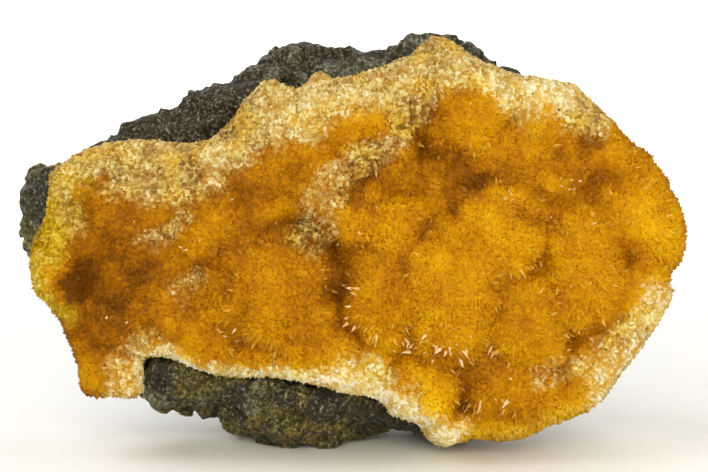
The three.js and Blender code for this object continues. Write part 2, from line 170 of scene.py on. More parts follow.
# Outline of the crust, clockwise from its upper left corner (u, v)
CRUST_OUTLINE = [
    (-53.3, 48.8), (-46.5, 53), (-39, 54.6), (-28, 54), (-22, 57), (-19.3, 61.2), (-14.5, 65.1),
    (-10, 63.3), (-7, 66.3), (-3, 65), (4, 67.2), (9.6, 69.3), (12.8, 72.4), (17, 71.8), (20.3, 69.3),
    (25.7, 66.8), (32, 65.3), (38.5, 64.2), (43, 59.8), (47.8, 54.2), (51.3, 51.7), (54.3, 47.3),
    (56.8, 42), (57.4, 37), (56.6, 33), (54.8, 31), (55.1, 28), (53.4, 23.5), (50.1, 18.5),
    (46.4, 13.5), (42.4, 8.8), (37, 6), (33, 4.4), (29.5, 2.4), (26.5, 2), (23, 2.4), (19.5, 2.3),
    (16, 0.9), (13, 2.2), (11.3, 4.5), (9.9, 5.6), (7.8, 6.1), (6.1, 6.5), (5.3, 8.2), (3.4, 9.3),
    (-0.9, 10.1), (-5.2, 11.7), (-9.5, 12.7), (-15.6, 13.4), (-21.5, 13.3), (-27, 14.6), (-33, 17),
    (-36.4, 16.3), (-36.9, 10.3), (-42.5, 9.7), (-47.2, 10.4), (-48.1, 15.5), (-50.9, 21.5),
    (-53.3, 25.7), (-55.7, 28.2), (-56.4, 33), (-55.6, 37.5), (-54, 40.4), (-53.5, 45),
]

# Sprays of crystals (u, v, radius, height above the crust, brightness)
SPRAYS = [
    (-1.5, 56.5, 4.5, 3, 0.1), (5, 56.5, 4.5, 3, 0.1), (-12, 50, 6.5, 3.5, 0),
    (18.5, 58, 6.5, 5.5, 0.1), (30.5, 56.5, 5.5, 3, 0), (27, 50, 7.5, 4.5, -0.1), (43.5, 52, 5, 4, 0),
    (50, 47.5, 4, 3.5, 0), (25, 38.5, 6.5, 6, 0.18), (16.5, 30.5, 7.5, 7, 0.2),
    (16.5, 22.5, 5, 6, 0.15), (5, 28, 6, 6, 0.03), (7, 39, 4.5, 5, 0.12), (-0.5, 41.5, 4.5, 5, -0.02),
    (37.5, 34.5, 6.5, 6.5, 0.08), (37.5, 28.5, 5, 5.5, 0.1), (46.5, 41, 6, 5, 0.1),
    (53.5, 37.5, 4, 3.5, 0.1), (47.5, 29.5, 5, 4, 0.05), (28.5, 24, 6, 6, 0.1), (30.5, 19, 4, 5, 0.15),
    (12.5, 12.5, 4.5, 5, 0.15), (22, 14, 5, 4.5, -0.04), (29, 12.5, 4.5, 5, 0), (37, 12, 4.5, 4, 0),
    (35, 8.5, 3.5, 3, 0.1), (25.5, 6, 3.5, 3, 0.15), (-13, 28.5, 8, 7.5, -0.02),
    (-22.5, 27, 4.5, 5, 0.15), (-19.5, 34.5, 4.5, 4.5, 0), (-32, 24, 5, 5, 0.05),
    (-25.5, 21, 4.5, 5, 0.1), (-41.5, 22.5, 5.5, 3.5, -0.45), (-44, 14.5, 5.5, 4.5, -0.1),
    (-6, 18.5, 5.5, 5, 0.1), (-16, 19, 4.5, 4.5, 0), (-24, 40.5, 5.5, 5, 0.1), (-17, 39.5, 4, 3.5, 0),
    (-40, 42, 6, 3.5, -0.2), (-35, 35.5, 5, 3.5, -0.15), (-32, 29.5, 4.5, 4, -0.05),
    (-52, 38.5, 4, 4, 0.2), (-52, 31, 4, 4, 0.15), (-5, 45.5, 4, 4.5, 0), (-1, 50, 4, 3.5, 0),
    (5, 51.5, 3.5, 3.5, 0), (9.5, 56.5, 3.5, 4, 0),
]

# Hollows between the sprays (u, v, radius, depth, darkness of their painted shade)
HOLLOWS = [
    (-46, 30.3, 3.2, 4, 0.32), (-3.5, 34.5, 2.5, 3, 0.4), (-2.5, 29, 2.5, 3, 0.4),
    (17.5, 9.5, 2.5, 3, 0.35), (32.5, 33.5, 2.2, 3, 0.3), (45, 35.5, 3, 2.5, 0.15),
    (12, 53, 3, 3.5, 0.25), (15, 47, 5.5, 2, 0.15), (36, 20, 3, 2.5, 0.2), (8, 18.5, 3, 2.5, 0.15),
    (-10.5, 40, 3.5, 2, 0.2), (-28, 33, 3, 1.5, 0.1), (41.7, 47.2, 3, 1.5, 0.15),
    (34.9, 14.1, 2.2, 1.5, 0.25), (-24, 44, 5, 0.5, 0.12),
]

# Lighter and darker places of the crust (u, v, radius, change in brightness), listed after
# comparing blurred renders with the blurred photograph. They shade the crust where its relief
# alone comes out too light or too dark
# They are partly the crust's own patchy tone and partly painted light and shade
TONE_AND_PAINTED_SHADING_PATCHES = [
    (8, 49, 5, 0.2), (13, 46, 3, 0.1), (31, 48, 7, 0.1), (40.5, 54.5, 2.5, -0.3), (23.5, 28, 4, -0.2),
    (41.5, 31.5, 3, -0.15), (-24.5, 28, 5, -0.25), (-20.5, 36, 4, -0.2), (-8, 37.5, 3.5, -0.25),
    (-39, 29, 4, -0.2), (-49.3, 29, 3.5, -0.5), (-17, 46.5, 6, -0.3), (2.5, 12.5, 4.5, 0.35),
    (-4, 14.5, 4, 0.15), (14, 60, 4, -0.45), (8.5, 57.5, 2.8, -0.45), (1, 48, 2.5, -0.25),
    (-39, 19, 3, 0.2), (31.5, 61.5, 5, 0.5), (-37, 13.5, 4, 0.3), (15, 18, 2.5, -0.2),
    (-15, 57, 6, 0.05), (12.5, 12.5, 3.5, 0.05), (-0.8, 45.5, 3, -0.35), (-25.3, 42.2, 4, -0.12),
    (-1, 58, 5, 0.1), (-40, 52, 6, -0.15), (-30, 54.3, 4, -0.35), (-10.6, 43, 3, 0.3),
    (38.2, 58.6, 3, -0.3), (41, 51.5, 3.5, 0.12), (21.3, 46, 2.8, -0.28), (33.2, 41.9, 4, -0.3),
    (28, 42, 3, -0.2), (38, 40, 4, -0.1), (13.7, 37.7, 3, -0.25), (28.3, 33.5, 3, -0.15),
    (52.5, 40, 3, 0.15), (52.5, 35, 3, 0.2), (50, 27, 4, 0.25), (-49.4, 41.9, 3, -0.35),
    (-54.2, 35.5, 3, -0.2), (-39.7, 25.3, 3.5, -0.3), (-34.8, 25, 5, -0.2), (-23.5, 17, 3.5, -0.25),
    (-43, 13, 4, 0.15), (-5.7, 25.3, 2.5, 0.15), (6, 17, 4, 0.2), (15.5, 14.5, 4.5, -0.2),
    (33.2, 12.8, 2.5, 0.2), (33, 5, 6, 0.3), (22, 3.5, 4, 0.3), (12.5, 72, 2.5, -0.5),
    (-28.6, 30, 2, 0.35), (33.5, 34, 2.5, 0.45), (8, 7, 3, 0.3), (18, 3.5, 3.5, 0.4),
    (-38, 22, 4, 0.15), (-54, 36, 3.5, -0.3), (-49.5, 40, 3.5, -0.25), (-48.5, 29, 2.5, -0.3),
    (-50, 33.5, 2.5, 0.25), (-44, 17, 3, -0.2), (-34.6, 21.2, 2.3, -0.3), (-30, 25, 3.2, 0.22),
    (-29.8, 17, 3.5, 0.25), (-20.2, 21.2, 2.5, -0.25), (-12.5, 39, 3.5, -0.22), (-25, 41.8, 2.5, 0.2),
    (-3.3, 21, 3, -0.15), (8.8, 33.6, 3, -0.22), (4, 21.2, 2.3, -0.22), (8.8, 17, 2.2, 0.2),
    (13.6, 17, 2.5, -0.25), (6, 12.9, 3.5, -0.2), (13.6, 8.8, 2.8, 0.45), (4, 8.8, 2.5, 0.4),
    (-12.5, 13, 4, 0.3), (18.4, 51, 3.5, -0.15), (33, 46, 2.8, 0.25), (37.7, 46, 2.3, -0.2),
    (47.5, 37.7, 2.5, 0.2), (23.3, 29.4, 2.5, -0.18), (31, 25.3, 4, -0.18), (28, 21.2, 3, -0.15),
    (40, 17, 3.5, 0.15), (30, 9, 4, -0.25), (23.3, 4.6, 2.5, -0.25), (2.5, 51, 3, -0.35),
    (8.8, 58.4, 2.3, -0.3), (-19.8, 58.6, 2.5, -0.35), (-39.5, 54.3, 2.5, 0.15), (-37, 48, 2, 0.15),
    (-25, 50.2, 2.5, 0.3), (-8, 62.7, 4, 0.3), (24.5, 62.7, 3.5, 0.3), (13.6, 42, 2.5, 0.2),
    (-53, 26, 2.3, 0.3), (37.5, 62.5, 2.3, 0.35), (42, 56.6, 2.3, -0.25), (19.5, 42, 2.5, -0.18),
    (5.2, 56.5, 2, 0.2), (-17, 53.5, 2.5, -0.2), (1.5, 52, 2, -0.25), (-54.3, 37.5, 2.2, -0.3),
    (-54.5, 29, 2, 0.3), (-1.7, 34.4, 2, 0.2), (-13.5, 41.3, 2.5, 0.2), (21.5, 50, 2.5, 0.2),
    (21.2, 7, 2.5, -0.15), (10, 62, 2.3, 0.2), (23.3, 58, 2.5, -0.2), (15.8, 60.3, 1.8, 0.3),
    (17.3, 63.8, 2, -0.3), (-28.5, 51.8, 2.5, -0.3), (-25.5, 45.5, 2.5, -0.15),
    (-29.5, 33.5, 2.5, 0.15), (-34.5, 30.5, 3.5, -0.18), (3.3, 18.5, 2.3, 0.2), (5, 8.6, 2.5, 0.25),
    (47, 46, 3.5, -0.12), (33.3, 38, 3.5, -0.12), (-15.5, 48.5, 3.5, 0.25), (40.5, 25, 3, -0.15),
    (35.3, 14.6, 2.5, 0.15), (20.4, 19, 2, -0.15), (-47.5, 51, 3, -0.15), (-4, 59, 4, -0.15),
    (-34.7, 46, 2.5, -0.2), (0, 44, 2.5, -0.2), (-1.5, 16, 2.5, -0.15), (-20, 42, 4, -0.12),
]

# The lower limit of the pale blocky band along the top of the crust (u, v)
PALE_BAND_FOOT = [
    (-60, 49), (-47.5, 48.8), (-40.6, 46.2), (-35.4, 44.3), (-29.3, 45.2), (-23.2, 47.1), (-19.3, 50),
    (-17.2, 53.1), (-11.1, 53.8), (-6.2, 54.7), (-4.2, 57.8), (-0.7, 59.9), (7.1, 60.4), (10.6, 62.2),
    (14.9, 63.4), (19.3, 65.1), (23.2, 62.7), (26.2, 59.2), (29.7, 58.2), (33.1, 59.6), (38.3, 57.8),
    (42.3, 56.4), (47, 60), (60, 62),
]

# Pale grainy ridges between the sprays: half width, how pale, then a path (u, v)
PALE_RIDGES = [
    (2.2, 0.75, [
        (14.2, 64), (11.5, 60), (8.2, 57), (7.6, 54.4), (4.6, 52.2), (0.6, 50.8), (-2.6, 48.2),
        (-5.2, 44.5),
    ]),
    (3.4, 0.4, [(-5, 45.5), (-6, 41.5), (-7.5, 37.5)]),
    (3.2, 0.85, [(4, 8.5), (9, 6.5), (13.5, 4)]),
    (2, 0.45, [(15, 4.5), (18.5, 4.5)]),
    (3.8, 0.5, [(-1, 13.5), (3, 13), (7, 11)]),
    (3.4, 0.6, [(-36, 18), (-39, 14.5), (-40, 11)]),
    (0.9, 0.8, [(-36, 37), (-33, 37.8), (-30.4, 39.2), (-28.6, 40.4)]),
    (1.0, 0.7, [(-30, 28.2), (-28.2, 29.8), (-27.2, 31)]),
    (1.6, 0.4, [(32, 13), (35, 15.5), (38, 16)]),
    (1.8, 0.4, [(-51, 47.5), (-49.5, 42), (-48.5, 38.5)]),
]

# Clusters of clear crystals, which catch the light and whose pale colour is partly their own and partly a
# painted glint (u, v, radius)
CLEAR_PLACES = [
    (38, 49.9, 1.2), (37.2, 47.3, 2), (49.7, 45.7, 1), (52.6, 43.9, 1), (51.9, 39.1, 0.9),
    (50.2, 37.5, 0.9), (38.9, 22.4, 0.9), (34.8, 19.8, 1.5), (23.3, 18.4, 1.5), (25.1, 9.1, 1.5),
    (22.5, 6.3, 1.5), (19.9, 9.4, 0.9), (38.1, 16, 1.2), (15.9, 62, 1), (20.8, 59.5, 1.2),
    (26.3, 44.4, 1.5), (-29.5, 35.3, 1), (-35.8, 27.9, 1), (-7.9, 36.2, 1), (12.9, 18.9, 2.5),
    (7.8, 18, 1.5), (17.2, 19.7, 1.5), (-2.6, 28.4, 1), (0, 23.2, 1.5), (-25, 42.2, 2),
    (-35.6, 37.9, 1.5), (-21.7, 21.4, 1.5), (-37.9, 45.6, 1.3), (-35, 45.2, 1.5), (-31.5, 47.3, 1.6),
    (-28.4, 47.7, 1.4), (-14.7, 54.2, 1.2), (-9.8, 52.5, 1.3), (-47, 42, 0.9), (20, 4.5, 1.2),
    (52.5, 27.5, 1.2),
]

# Large pale teeth at the lower edges of the sprays (u, v, radius)
# Their pale colour, shared with the clear crystals, is partly their own and partly a painted glint
PALE_TEETH_PLACES = [
    (12.1, 20.6, 0.9), (14.7, 18.9, 0.9), (17.4, 17.7, 1), (23.3, 18.4, 0.9), (7.8, 19.8, 0.9),
    (20.7, 9.8, 0.9), (25.9, 9.4, 0.9), (10, 18.7, 0.7), (-1.5, 26.7, 0.9), (-0.5, 29, 0.8),
    (3.5, 21.8, 0.8), (40.2, 19.3, 0.8), (37.8, 15.2, 0.7), (-0.7, 23.5, 0.7),
]

# Rock: its even net, how often its edges are eased and how much, and the zone that stays flat
ROCK_NET = 0.62
ROCK_EASINGS = 3
EASING_SHARE = 0.6
ROCK_FOOT = 0.35

# Rock surface: broken faces (size, seed), pits and grain
ROCK_FILL = 0.25
CHIP_SHARPNESS = 9.0
COARSE_CHIPS = (6.5, 61)
COARSE_CHIP_SQUASH = (1, 1, 1.4)
COARSE_CHIP_DEPTH = 0.38
FINE_CHIPS = (2.4, 67)
FINE_CHIP_DEPTH = 0.45
PIT_NOISE = (1.9, 3, 71)
PIT_DEPTH = 0.5
GRAIN_SIZE = 0.7
GRAIN_DEPTH = 0.16
ROCK_BUMP = 0.6

# Places where the rock is pushed a little (u, v, radius, across, up, out)
ROCK_NUDGES = [
    (5, 70.5, 2.5, 0, -0.5, 0), (8.5, 73, 3, 0, -2, 0), (15, 73.3, 3, 0, 0.1, 0),
    (25.8, 69, 3, -1, -2, 0), (15, 74, 3, 0, -1.2, 0), (-51.3, 51.3, 3.5, 1.2, -1.2, 0),
    (-47.1, 53.4, 3, 0.3, -0.8, 0), (-36.5, 59, 2.5, 0, 0.3, 0), (-30, 62, 3, 0, 1, 0),
    (-17.8, 67.2, 3, 0, 1, 0), (-10.5, 71.2, 4, 0, -0.7, 0), (0.5, 69.8, 3, 0, 0.7, 0),
    (6, 0, 6, 0, 1.2, 0), (-4, 0, 4, 0, 1, 0), (-58.5, 47, 3, 1, 0, 0), (-37, 14.5, 4, 0, 0, 2.8),
    (-31, 15.5, 4.5, 0, 0, 3), (-24, 13, 4.5, 0, 0, 3), (-16, 12.5, 4.5, 0, 0, 3),
    (-8, 11.5, 4.5, 0, 0, 3), (0, 9.5, 4, 0, 0, 2.6), (-29.5, 6.5, 2, 0, 0.6, 0),
    (-21, 1.5, 3, 0, -0.6, 0), (-27, 8, 2.2, 0, -1.4, 0), (-34, 9, 3.5, 0, -1.8, 0),
    (-26.8, 63.6, 2.5, 0, -0.4, 0), (8, 0, 5, 0, 0.9, 0),
]

# Stains on the rock (u, v, radius), and how ragged and soft their edges are
STAIN_NOISES = ((3, 4, 91), (3, 4, 93))
STAIN_RAGGED = 1.8
STAIN_SPREAD = math.sqrt(2)
OCHRE_PLACES = [
    (-17.5, 4.5, 1.6), (-7.5, 3.5, 2), (-29.7, 10.5, 1.6), (-12, 2.5, 1.5), (-12, 8, 1.2),
    (-3.5, 4, 1.4),
]
ASHEN_PLACES = [
    (-26.5, 8.8, 1.3), (-18.4, 8.5, 1.6), (-14.5, 6, 1.1), (-35.5, 9, 1.4), (-16, 12.5, 1.6),
    (-55.5, 39, 1.5),
]
SLATE_PLACES = [
    (-56.5, 44, 4), (-4.5, 8.5, 3.6), (2, 6.5, 4), (9, 4.5, 4), (-20, 10.5, 2), (-34, 13, 2.5),
    (-9, 2, 1.2),
]
FILM_PLACES = [
    (-10.5, 69.5, 1.5), (-14.5, 65.5, 1.3), (-3.5, 68.2, 2), (1.3, 67, 2.4), (11, 71.5, 2),
    (4, 67.8, 2), (-8, 64.5, 1.2),
]

# Where the rock turns olive, from nothing to full: towards the foot (height) and the left (u)
OLIVE_UNDER = (30, 18)
OLIVE_LEFT = (-47, -52)

# Colours of the calcite, from its hollows to its tips (place on the ramp, colour)
GOLDEN = [
    (0.0, (0.15, 0.046, 0.001)), (0.2, (0.335, 0.112, 0.001)), (0.33, (0.48, 0.187, 0.001)),
    (0.47, (0.605, 0.272, 0.001)), (0.68, (0.755, 0.392, 0.002)), (1.0, (0.88, 0.56, 0.012)),
]
CREAM = [
    (0.0, (0.16, 0.09, 0.02)), (0.2, (0.34, 0.20, 0.03)), (0.4, (0.51, 0.33, 0.08)),
    (0.58, (0.62, 0.46, 0.165)), (0.76, (0.75, 0.62, 0.32)), (1.0, (0.91, 0.82, 0.62)),
]
YELLOW = [
    (0.0, (0.20, 0.09, 0.004)), (0.4, (0.60, 0.31, 0.012)), (0.65, (0.70, 0.46, 0.04)),
    (1.0, (0.86, 0.72, 0.30)),
]
LEMON = [
    (0.0, (0.24, 0.12, 0.001)), (0.4, (0.50, 0.29, 0.003)), (0.65, (0.64, 0.43, 0.02)),
    (1.0, (0.80, 0.66, 0.26)),
]
CLEAR_TIP = (0.78, 0.47, 0.12, 1)
# GLINT: the pale colour of the clear crystals and pale teeth, partly their own and partly a painted glint
GLINT = (0.86, 0.63, 0.32)
SPECK = (0.06, 0.022, 0.003)
GLINT_DARKER = (0.8, 0.6, 0.3)
CALCITE_IOR = 1.6
SCATTER_COLOUR = (1.0, 0.45, 0.12)
SCATTER_DEPTH = 1.6

# Colours of the rock, from its pits to its ridges and light crystals (place on the ramp, colour). The
# ramps follow the fine noise that also raises the rock's bump, so their dark end is partly painted shade
# in its pits and their light end partly painted highlights on its ridges, over its own dark and light grain
DARK = [
    (0.42, (0.003, 0.0025, 0.001)), (0.49, (0.012, 0.010, 0.005)), (0.54, (0.070, 0.062, 0.038)),
    (0.60, (0.19, 0.17, 0.125)), (0.67, (0.52, 0.48, 0.38)),
]
OLIVE = [
    (0.40, (0.010, 0.008, 0.001)), (0.47, (0.050, 0.040, 0.008)), (0.52, (0.125, 0.102, 0.026)),
    (0.57, (0.25, 0.21, 0.075)), (0.64, (0.50, 0.45, 0.25)),
]
OCHRE = [
    (0.40, (0.02, 0.011, 0.001)), (0.48, (0.10, 0.066, 0.007)), (0.55, (0.24, 0.17, 0.03)),
    (0.64, (0.46, 0.36, 0.13)),
]
ASHEN = [
    (0.40, (0.02, 0.018, 0.01)), (0.5, (0.15, 0.145, 0.095)), (0.62, (0.50, 0.49, 0.39)),
]
SLATE = [
    (0.42, (0.006, 0.006, 0.004)), (0.54, (0.030, 0.029, 0.021)), (0.60, (0.12, 0.115, 0.09)),
    (0.66, (0.60, 0.58, 0.50)),
]
ROCK_TINT = (1.0, 0.88, 0.62, 1)

# White sweep, in metres: where it starts in front, where it bends up and how wide, and its height
SWEEP_FRONT = -1.2
SWEEP_BEND = 0.5
SWEEP_STEPS = 12
SWEEP_HEIGHT = 1.8
SWEEP_HALF_WIDTH = 1.6

# The lights point here (metres), and a little light comes from everywhere
LIGHT_AIM = (0, 0, 0.035)
WORLD_COLOUR = (1, 0.99, 0.94, 1)
WORLD_STRENGTH = 0.12

# Camera: its lens and sensor, how far it is from the slab, and where on the slab it aims (u, v)
LENS = 100.0
SENSOR = 36.0
CAMERA_DISTANCE = 348.45
AIM = (-0.18, 37.7)


def turn_up(directions):
    """Slab directions to directions in the row frame."""
    u, v, w = directions.T
    lean, rise = math.sin(LEAN_BACK), math.cos(LEAN_BACK)
    return np.stack([u, v * lean - w * rise, v * rise + w * lean], axis=1)


def stand_up(points):
    """Slab millimetres (u, v, w) to metres in the row frame."""
    return (turn_up(points) + TO_BASE_CENTRE) * MM


def lie_down(places):
    """Row frame metres back to slab millimetres."""
    x, y, z = (places / MM - TO_BASE_CENTRE).T
    lean, rise = math.sin(LEAN_BACK), math.cos(LEAN_BACK)
    return np.stack([x, y * lean + z * rise, z * lean - y * rise], axis=1)


OUTWARDS, UPWARDS = turn_up(np.array([[0.0, 0.0, 1.0], [0.0, 1.0, 0.0]]))


def lattice_noise(points, seed):
    """Smooth random values from -1 to 1, with about one bump to a unit."""
    cell = np.floor(points).astype(np.int64)
    part = points - cell
    step = part * part * (3 - 2 * part)
    total = np.zeros(len(points))
    for corner in itertools.product((0, 1), repeat=points.shape[1]):
        key = np.full(len(points), seed * 7919 + 17, np.int64)
        weight = np.ones(len(points))
        for axis, offset in enumerate(corner):
            key = (key ^ (key >> 13)) * 1103515245 + (cell[:, axis] + offset) * 362437 + 12345
            key &= 0x7FFFFFFF
            weight *= step[:, axis] if offset else 1 - step[:, axis]
        key = ((key ^ (key >> 15)) * 1597334677) & 0x7FFFFFFF
        key ^= key >> 14
        total += weight * (key / 0x3FFFFFFF - 1)
    return total


def layered_noise(points, size, layers, seed):
    """Noise with its main bumps of the given size, and each further layer half as wide and high."""
    total = np.zeros(len(points))
    for layer in range(layers):
        total += lattice_noise(points / (size / 2 ** layer), seed + layer) / 2 ** layer
    return total


def smooth_step(values, low, high):
    """0 below the low value, 1 above the high one, and a smooth rise between them."""
    share = np.clip((values - low) / (high - low), 0, 1)
    return share * share * (3 - 2 * share)


def bell(flat, u, v, radius):
    """1 at one place of the slab, falling off smoothly around it."""
    return np.exp(-((flat[:, 0] - u) ** 2 + (flat[:, 1] - v) ** 2) / radius ** 2)


def near_places(flat, places, elsewhere=0.0, spread=1.0):
    """1 in the middle of each place, falling off to the value elsewhere."""
    share = np.full(len(flat), elsewhere)
    for u, v, radius in places:
        share = np.maximum(share, bell(flat, u, v, radius * spread))
    return share


def smooth_loop(corners, spacing):
    """Even samples along a closed smooth curve through the corners."""
    here = np.array(corners, float)
    before, after, beyond = np.roll(here, 1, 0), np.roll(here, -1, 0), np.roll(here, -2, 0)
    gap_before = np.linalg.norm(here - before, axis=1)[:, None] ** 0.5
    gap = np.linalg.norm(after - here, axis=1)[:, None] ** 0.5
    gap_after = np.linalg.norm(beyond - after, axis=1)[:, None] ** 0.5
    leave = (here - before) / gap_before - (after - before) / (gap_before + gap) + (after - here) / gap
    arrive = (after - here) / gap - (beyond - here) / (gap + gap_after) + (beyond - after) / gap_after
    leave, arrive = leave * gap, arrive * gap
    path = []
    for share in np.linspace(0, 1, 24, endpoint=False):
        square, cube = share ** 2, share ** 3
        path.append((2 * cube - 3 * square + 1) * here + (cube - 2 * square + share) * leave
                    + (3 * square - 2 * cube) * after + (cube - square) * arrive)
    path = np.stack(path, axis=1).reshape(-1, 2)
    closed = np.vstack([path, path[:1]])
    along = np.concatenate([[0], np.cumsum(np.linalg.norm(np.diff(closed, axis=0), axis=1))])
    stops = np.linspace(0, along[-1], round(along[-1] / spacing), endpoint=False)
    return np.stack([np.interp(stops, along, closed[:, axis]) for axis in (0, 1)], axis=1)


def is_inside(outline, points):
    """Which points lie inside a closed outline."""
    inside = np.zeros(len(points), bool)
    for here, after in zip(outline, np.roll(outline, -1, 0)):
        crosses = (here[1] > points[:, 1]) != (after[1] > points[:, 1])
        rise = after[1] - here[1]
        if rise != 0:
            crossing = (after[0] - here[0]) * (points[:, 1] - here[1]) / rise + here[0]
            inside ^= crosses & (points[:, 0] < crossing)
    return inside


def distance_to_path(path, points, closed):
    """How far each point is from an open or closed path."""
    nearest = np.full(len(points), np.inf)
    path = np.array(path, float)
    ends = np.roll(path, -1, 0) if closed else path[1:]
    for here, after in zip(path, ends):
        along = after - here
        share = np.clip(((points - here) @ along) / (along @ along), 0, 1)
        nearest = np.minimum(nearest, np.linalg.norm(points - here - share[:, None] * along, axis=1))
    return nearest


def grow_outline(outline, distance):
    """The outline moved outwards, by one distance or by one for each of its points."""
    along = np.roll(outline, -1, 0) - np.roll(outline, 1, 0)
    along /= np.linalg.norm(along, axis=1)[:, None]
    return outline + np.stack([-along[:, 1], along[:, 0]], axis=1) * distance


def evenly_along(loop, count):
    """The loop's points spread over a new count, each the same share of the way round."""
    stops = np.arange(count) * len(loop) / count
    closed = np.vstack([loop, loop[:1]])
    numbers = np.arange(len(closed))
    return np.stack([np.interp(stops, numbers, closed[:, axis]) for axis in (0, 1)], axis=1)


def scatter_inside(outline, spacing, seed):
    """Points over the inside of an outline, on a six-sided grid that is shaken a little."""
    random = np.random.default_rng(seed)
    low, high = outline.min(0), outline.max(0)
    columns = np.arange(low[0], high[0], spacing)
    rows = np.arange(low[1], high[1], spacing * 0.866)
    u, v = np.meshgrid(columns, rows)
    u[1::2] += spacing / 2
    points = np.stack([u.ravel(), v.ravel()], axis=1)
    points += random.uniform(-0.2, 0.2, points.shape) * spacing
    points = points[is_inside(outline, points)]
    return points[distance_to_path(outline, points, True) > spacing * 0.6]


def net_triangles(points, rim_count):
    """Triangles that join flat points inside a rim of the first rim_count of them."""
    rim = [(index, (index + 1) % rim_count) for index in range(rim_count)]
    result = delaunay_2d_cdt([Vector(point) for point in points.tolist()], rim, [], 1, 1e-7)
    originals = [sources[0] for sources in result[3]]
    faces = np.array([[originals[corner] for corner in face] for face in result[2]])
    a, b, c = (points[faces[:, corner]] for corner in range(3))
    turn = (b[:, 0] - a[:, 0]) * (c[:, 1] - a[:, 1]) - (b[:, 1] - a[:, 1]) * (c[:, 0] - a[:, 0])
    faces[turn < 0] = faces[turn < 0][:, [0, 2, 1]]
    return faces


COARSE_OUTLINE = smooth_loop(CRUST_OUTLINE, 2.0)


def bed_height(points):
    """How far the rock's face stands out under the crust."""
    across = (points[:, 0] - BED_CENTRE[0]) / BED_HALF[0]
    up = (points[:, 1] - BED_CENTRE[1]) / BED_HALF[1]
    return BED_EDGE + BED_RISE * np.maximum(0, 1 - across ** 2 - up ** 2)


def rim_fullness(points):
    """0 at the crust's outline, rounding up to 1 inside it."""
    low, high = RIM_ROUND_ZONE
    share = np.clip((points[:, 1] - low) / (high - low), 0, 1)
    reach = RIM_ROUND_FOOT + (RIM_ROUND_TOP - RIM_ROUND_FOOT) * share
    distance = distance_to_path(COARSE_OUTLINE, points, True)
    return np.sqrt(1 - (1 - np.minimum(distance / reach, 1)) ** 2)


def blend_highest(levels, directions, values, softness):
    """The upper envelope of several surfaces, rounded where they meet, and their mixed data."""
    levels = np.array(levels)
    highest = levels.max(0)
    weights = np.exp((levels - highest) / softness)
    total = weights.sum(0)
    weights /= total
    direction = np.einsum("kn,knc->nc", weights, np.array(directions))
    mixed = [(weights * np.array(value)).sum(0) for value in values]
    return highest + softness * np.log(total) * 0.5, direction, mixed


def main_sprays(points, fullness):
    """The broad sprays: height, growing direction, brightness with painted shade, and how near a spray's
    edge.
    """
    count = len(points)
    ground = bed_height(points) + RIM_THICKNESS + (GROUND_THICKNESS - RIM_THICKNESS) * fullness
    levels = [ground]
    directions = [np.tile([0.0, 0.0, 1.0], (count, 1))]
    brightness = [np.full(count, GROUND_PAINTED_SHADE)]
    edges = [np.zeros(count)]
    wander = SPRAY_WANDER * layered_noise(points, *SPRAY_NOISE)
    for u, v, radius, height, bright in SPRAYS:
        centre = np.array([[u, v]])
        away = np.maximum(0, np.linalg.norm(points - centre, axis=1) + wander)
        reach = away / radius
        past_edge = np.maximum(reach - SPRAY_EDGE, 0)
        fall = radius * (SPRAY_FALL * reach ** 2 + SPRAY_EDGE_FALL * past_edge ** 2)
        level = bed_height(centre)[0] + CRUST_THICKNESS + height - fall
        levels.append(ground + (np.maximum(level, ground - 6) - ground) * fullness)
        outwards = np.column_stack([points - centre, np.full(count, radius * SPRAY_ROOT)])
        directions.append(outwards / np.linalg.norm(outwards, axis=1)[:, None])
        brightness.append(np.full(count, bright))
        edges.append(smooth_step(reach, *SPRAY_EDGE_ZONE))
    height, grow, (bright, edge) = blend_highest(levels, directions, [brightness, edges], SPRAY_BLEND)
    ragged = points + np.stack([layered_noise(points, *noise) for noise in RAGGED_NOISES], axis=1)
    # Each hollow is cut down and darkened with painted shade
    for u, v, radius, depth, dark in HOLLOWS:
        fall = bell(ragged, u, v, radius)
        height = height - depth * fall * fullness
        bright = bright - dark * fall
    # Patches of painted light and shade, partly the crust's own patchy tone
    for u, v, radius, change in TONE_AND_PAINTED_SHADING_PATCHES:
        bright = bright + change * bell(ragged, u, v, radius)
    return height, grow, bright, edge


def small_sprays(points, height, grow, bright, fullness):
    """Small sprays over the whole crust, each a low bump of crystals round its own centre."""
    random = np.random.default_rng(19)
    centres = scatter_inside(smooth_loop(CRUST_OUTLINE, 1.5), SMALL_SPACING, 27)
    heights = random.uniform(*SMALL_HEIGHT, len(centres))
    tops = main_sprays(centres, rim_fullness(centres))[0] + heights
    widths = random.uniform(*SMALL_WIDTH, len(centres))
    shades = random.uniform(-SMALL_SHADE, SMALL_SHADE, len(centres))
    levels, leans, shading = height.copy(), np.zeros_like(grow), np.zeros(len(points))
    for centre, top, width, shade in zip(centres, tops, widths, shades):
        near = np.abs(points - centre).max(1) < width * 1.6
        away = points[near] - centre
        cap = top - (away ** 2).sum(1) / (2 * width)
        taller = cap > levels[near]
        chosen = np.flatnonzero(near)[taller]
        levels[chosen] = cap[taller]
        leans[chosen, :2] = away[taller] / width
        shading[chosen] = shade
    raised = height + (levels - height) * fullness
    mixed = grow + leans * SMALL_LEAN
    return raised, mixed / np.linalg.norm(mixed, axis=1)[:, None], bright + shading


def spray_shape(points):
    """The crust's front: height, growing direction, brightness with painted shade, and how near a spray's
    edge.
    """
    fullness = rim_fullness(points)
    height, grow, bright, edge = main_sprays(points, fullness)
    height, grow, bright = small_sprays(points, height, grow, bright, fullness)
    return height, grow, bright, edge


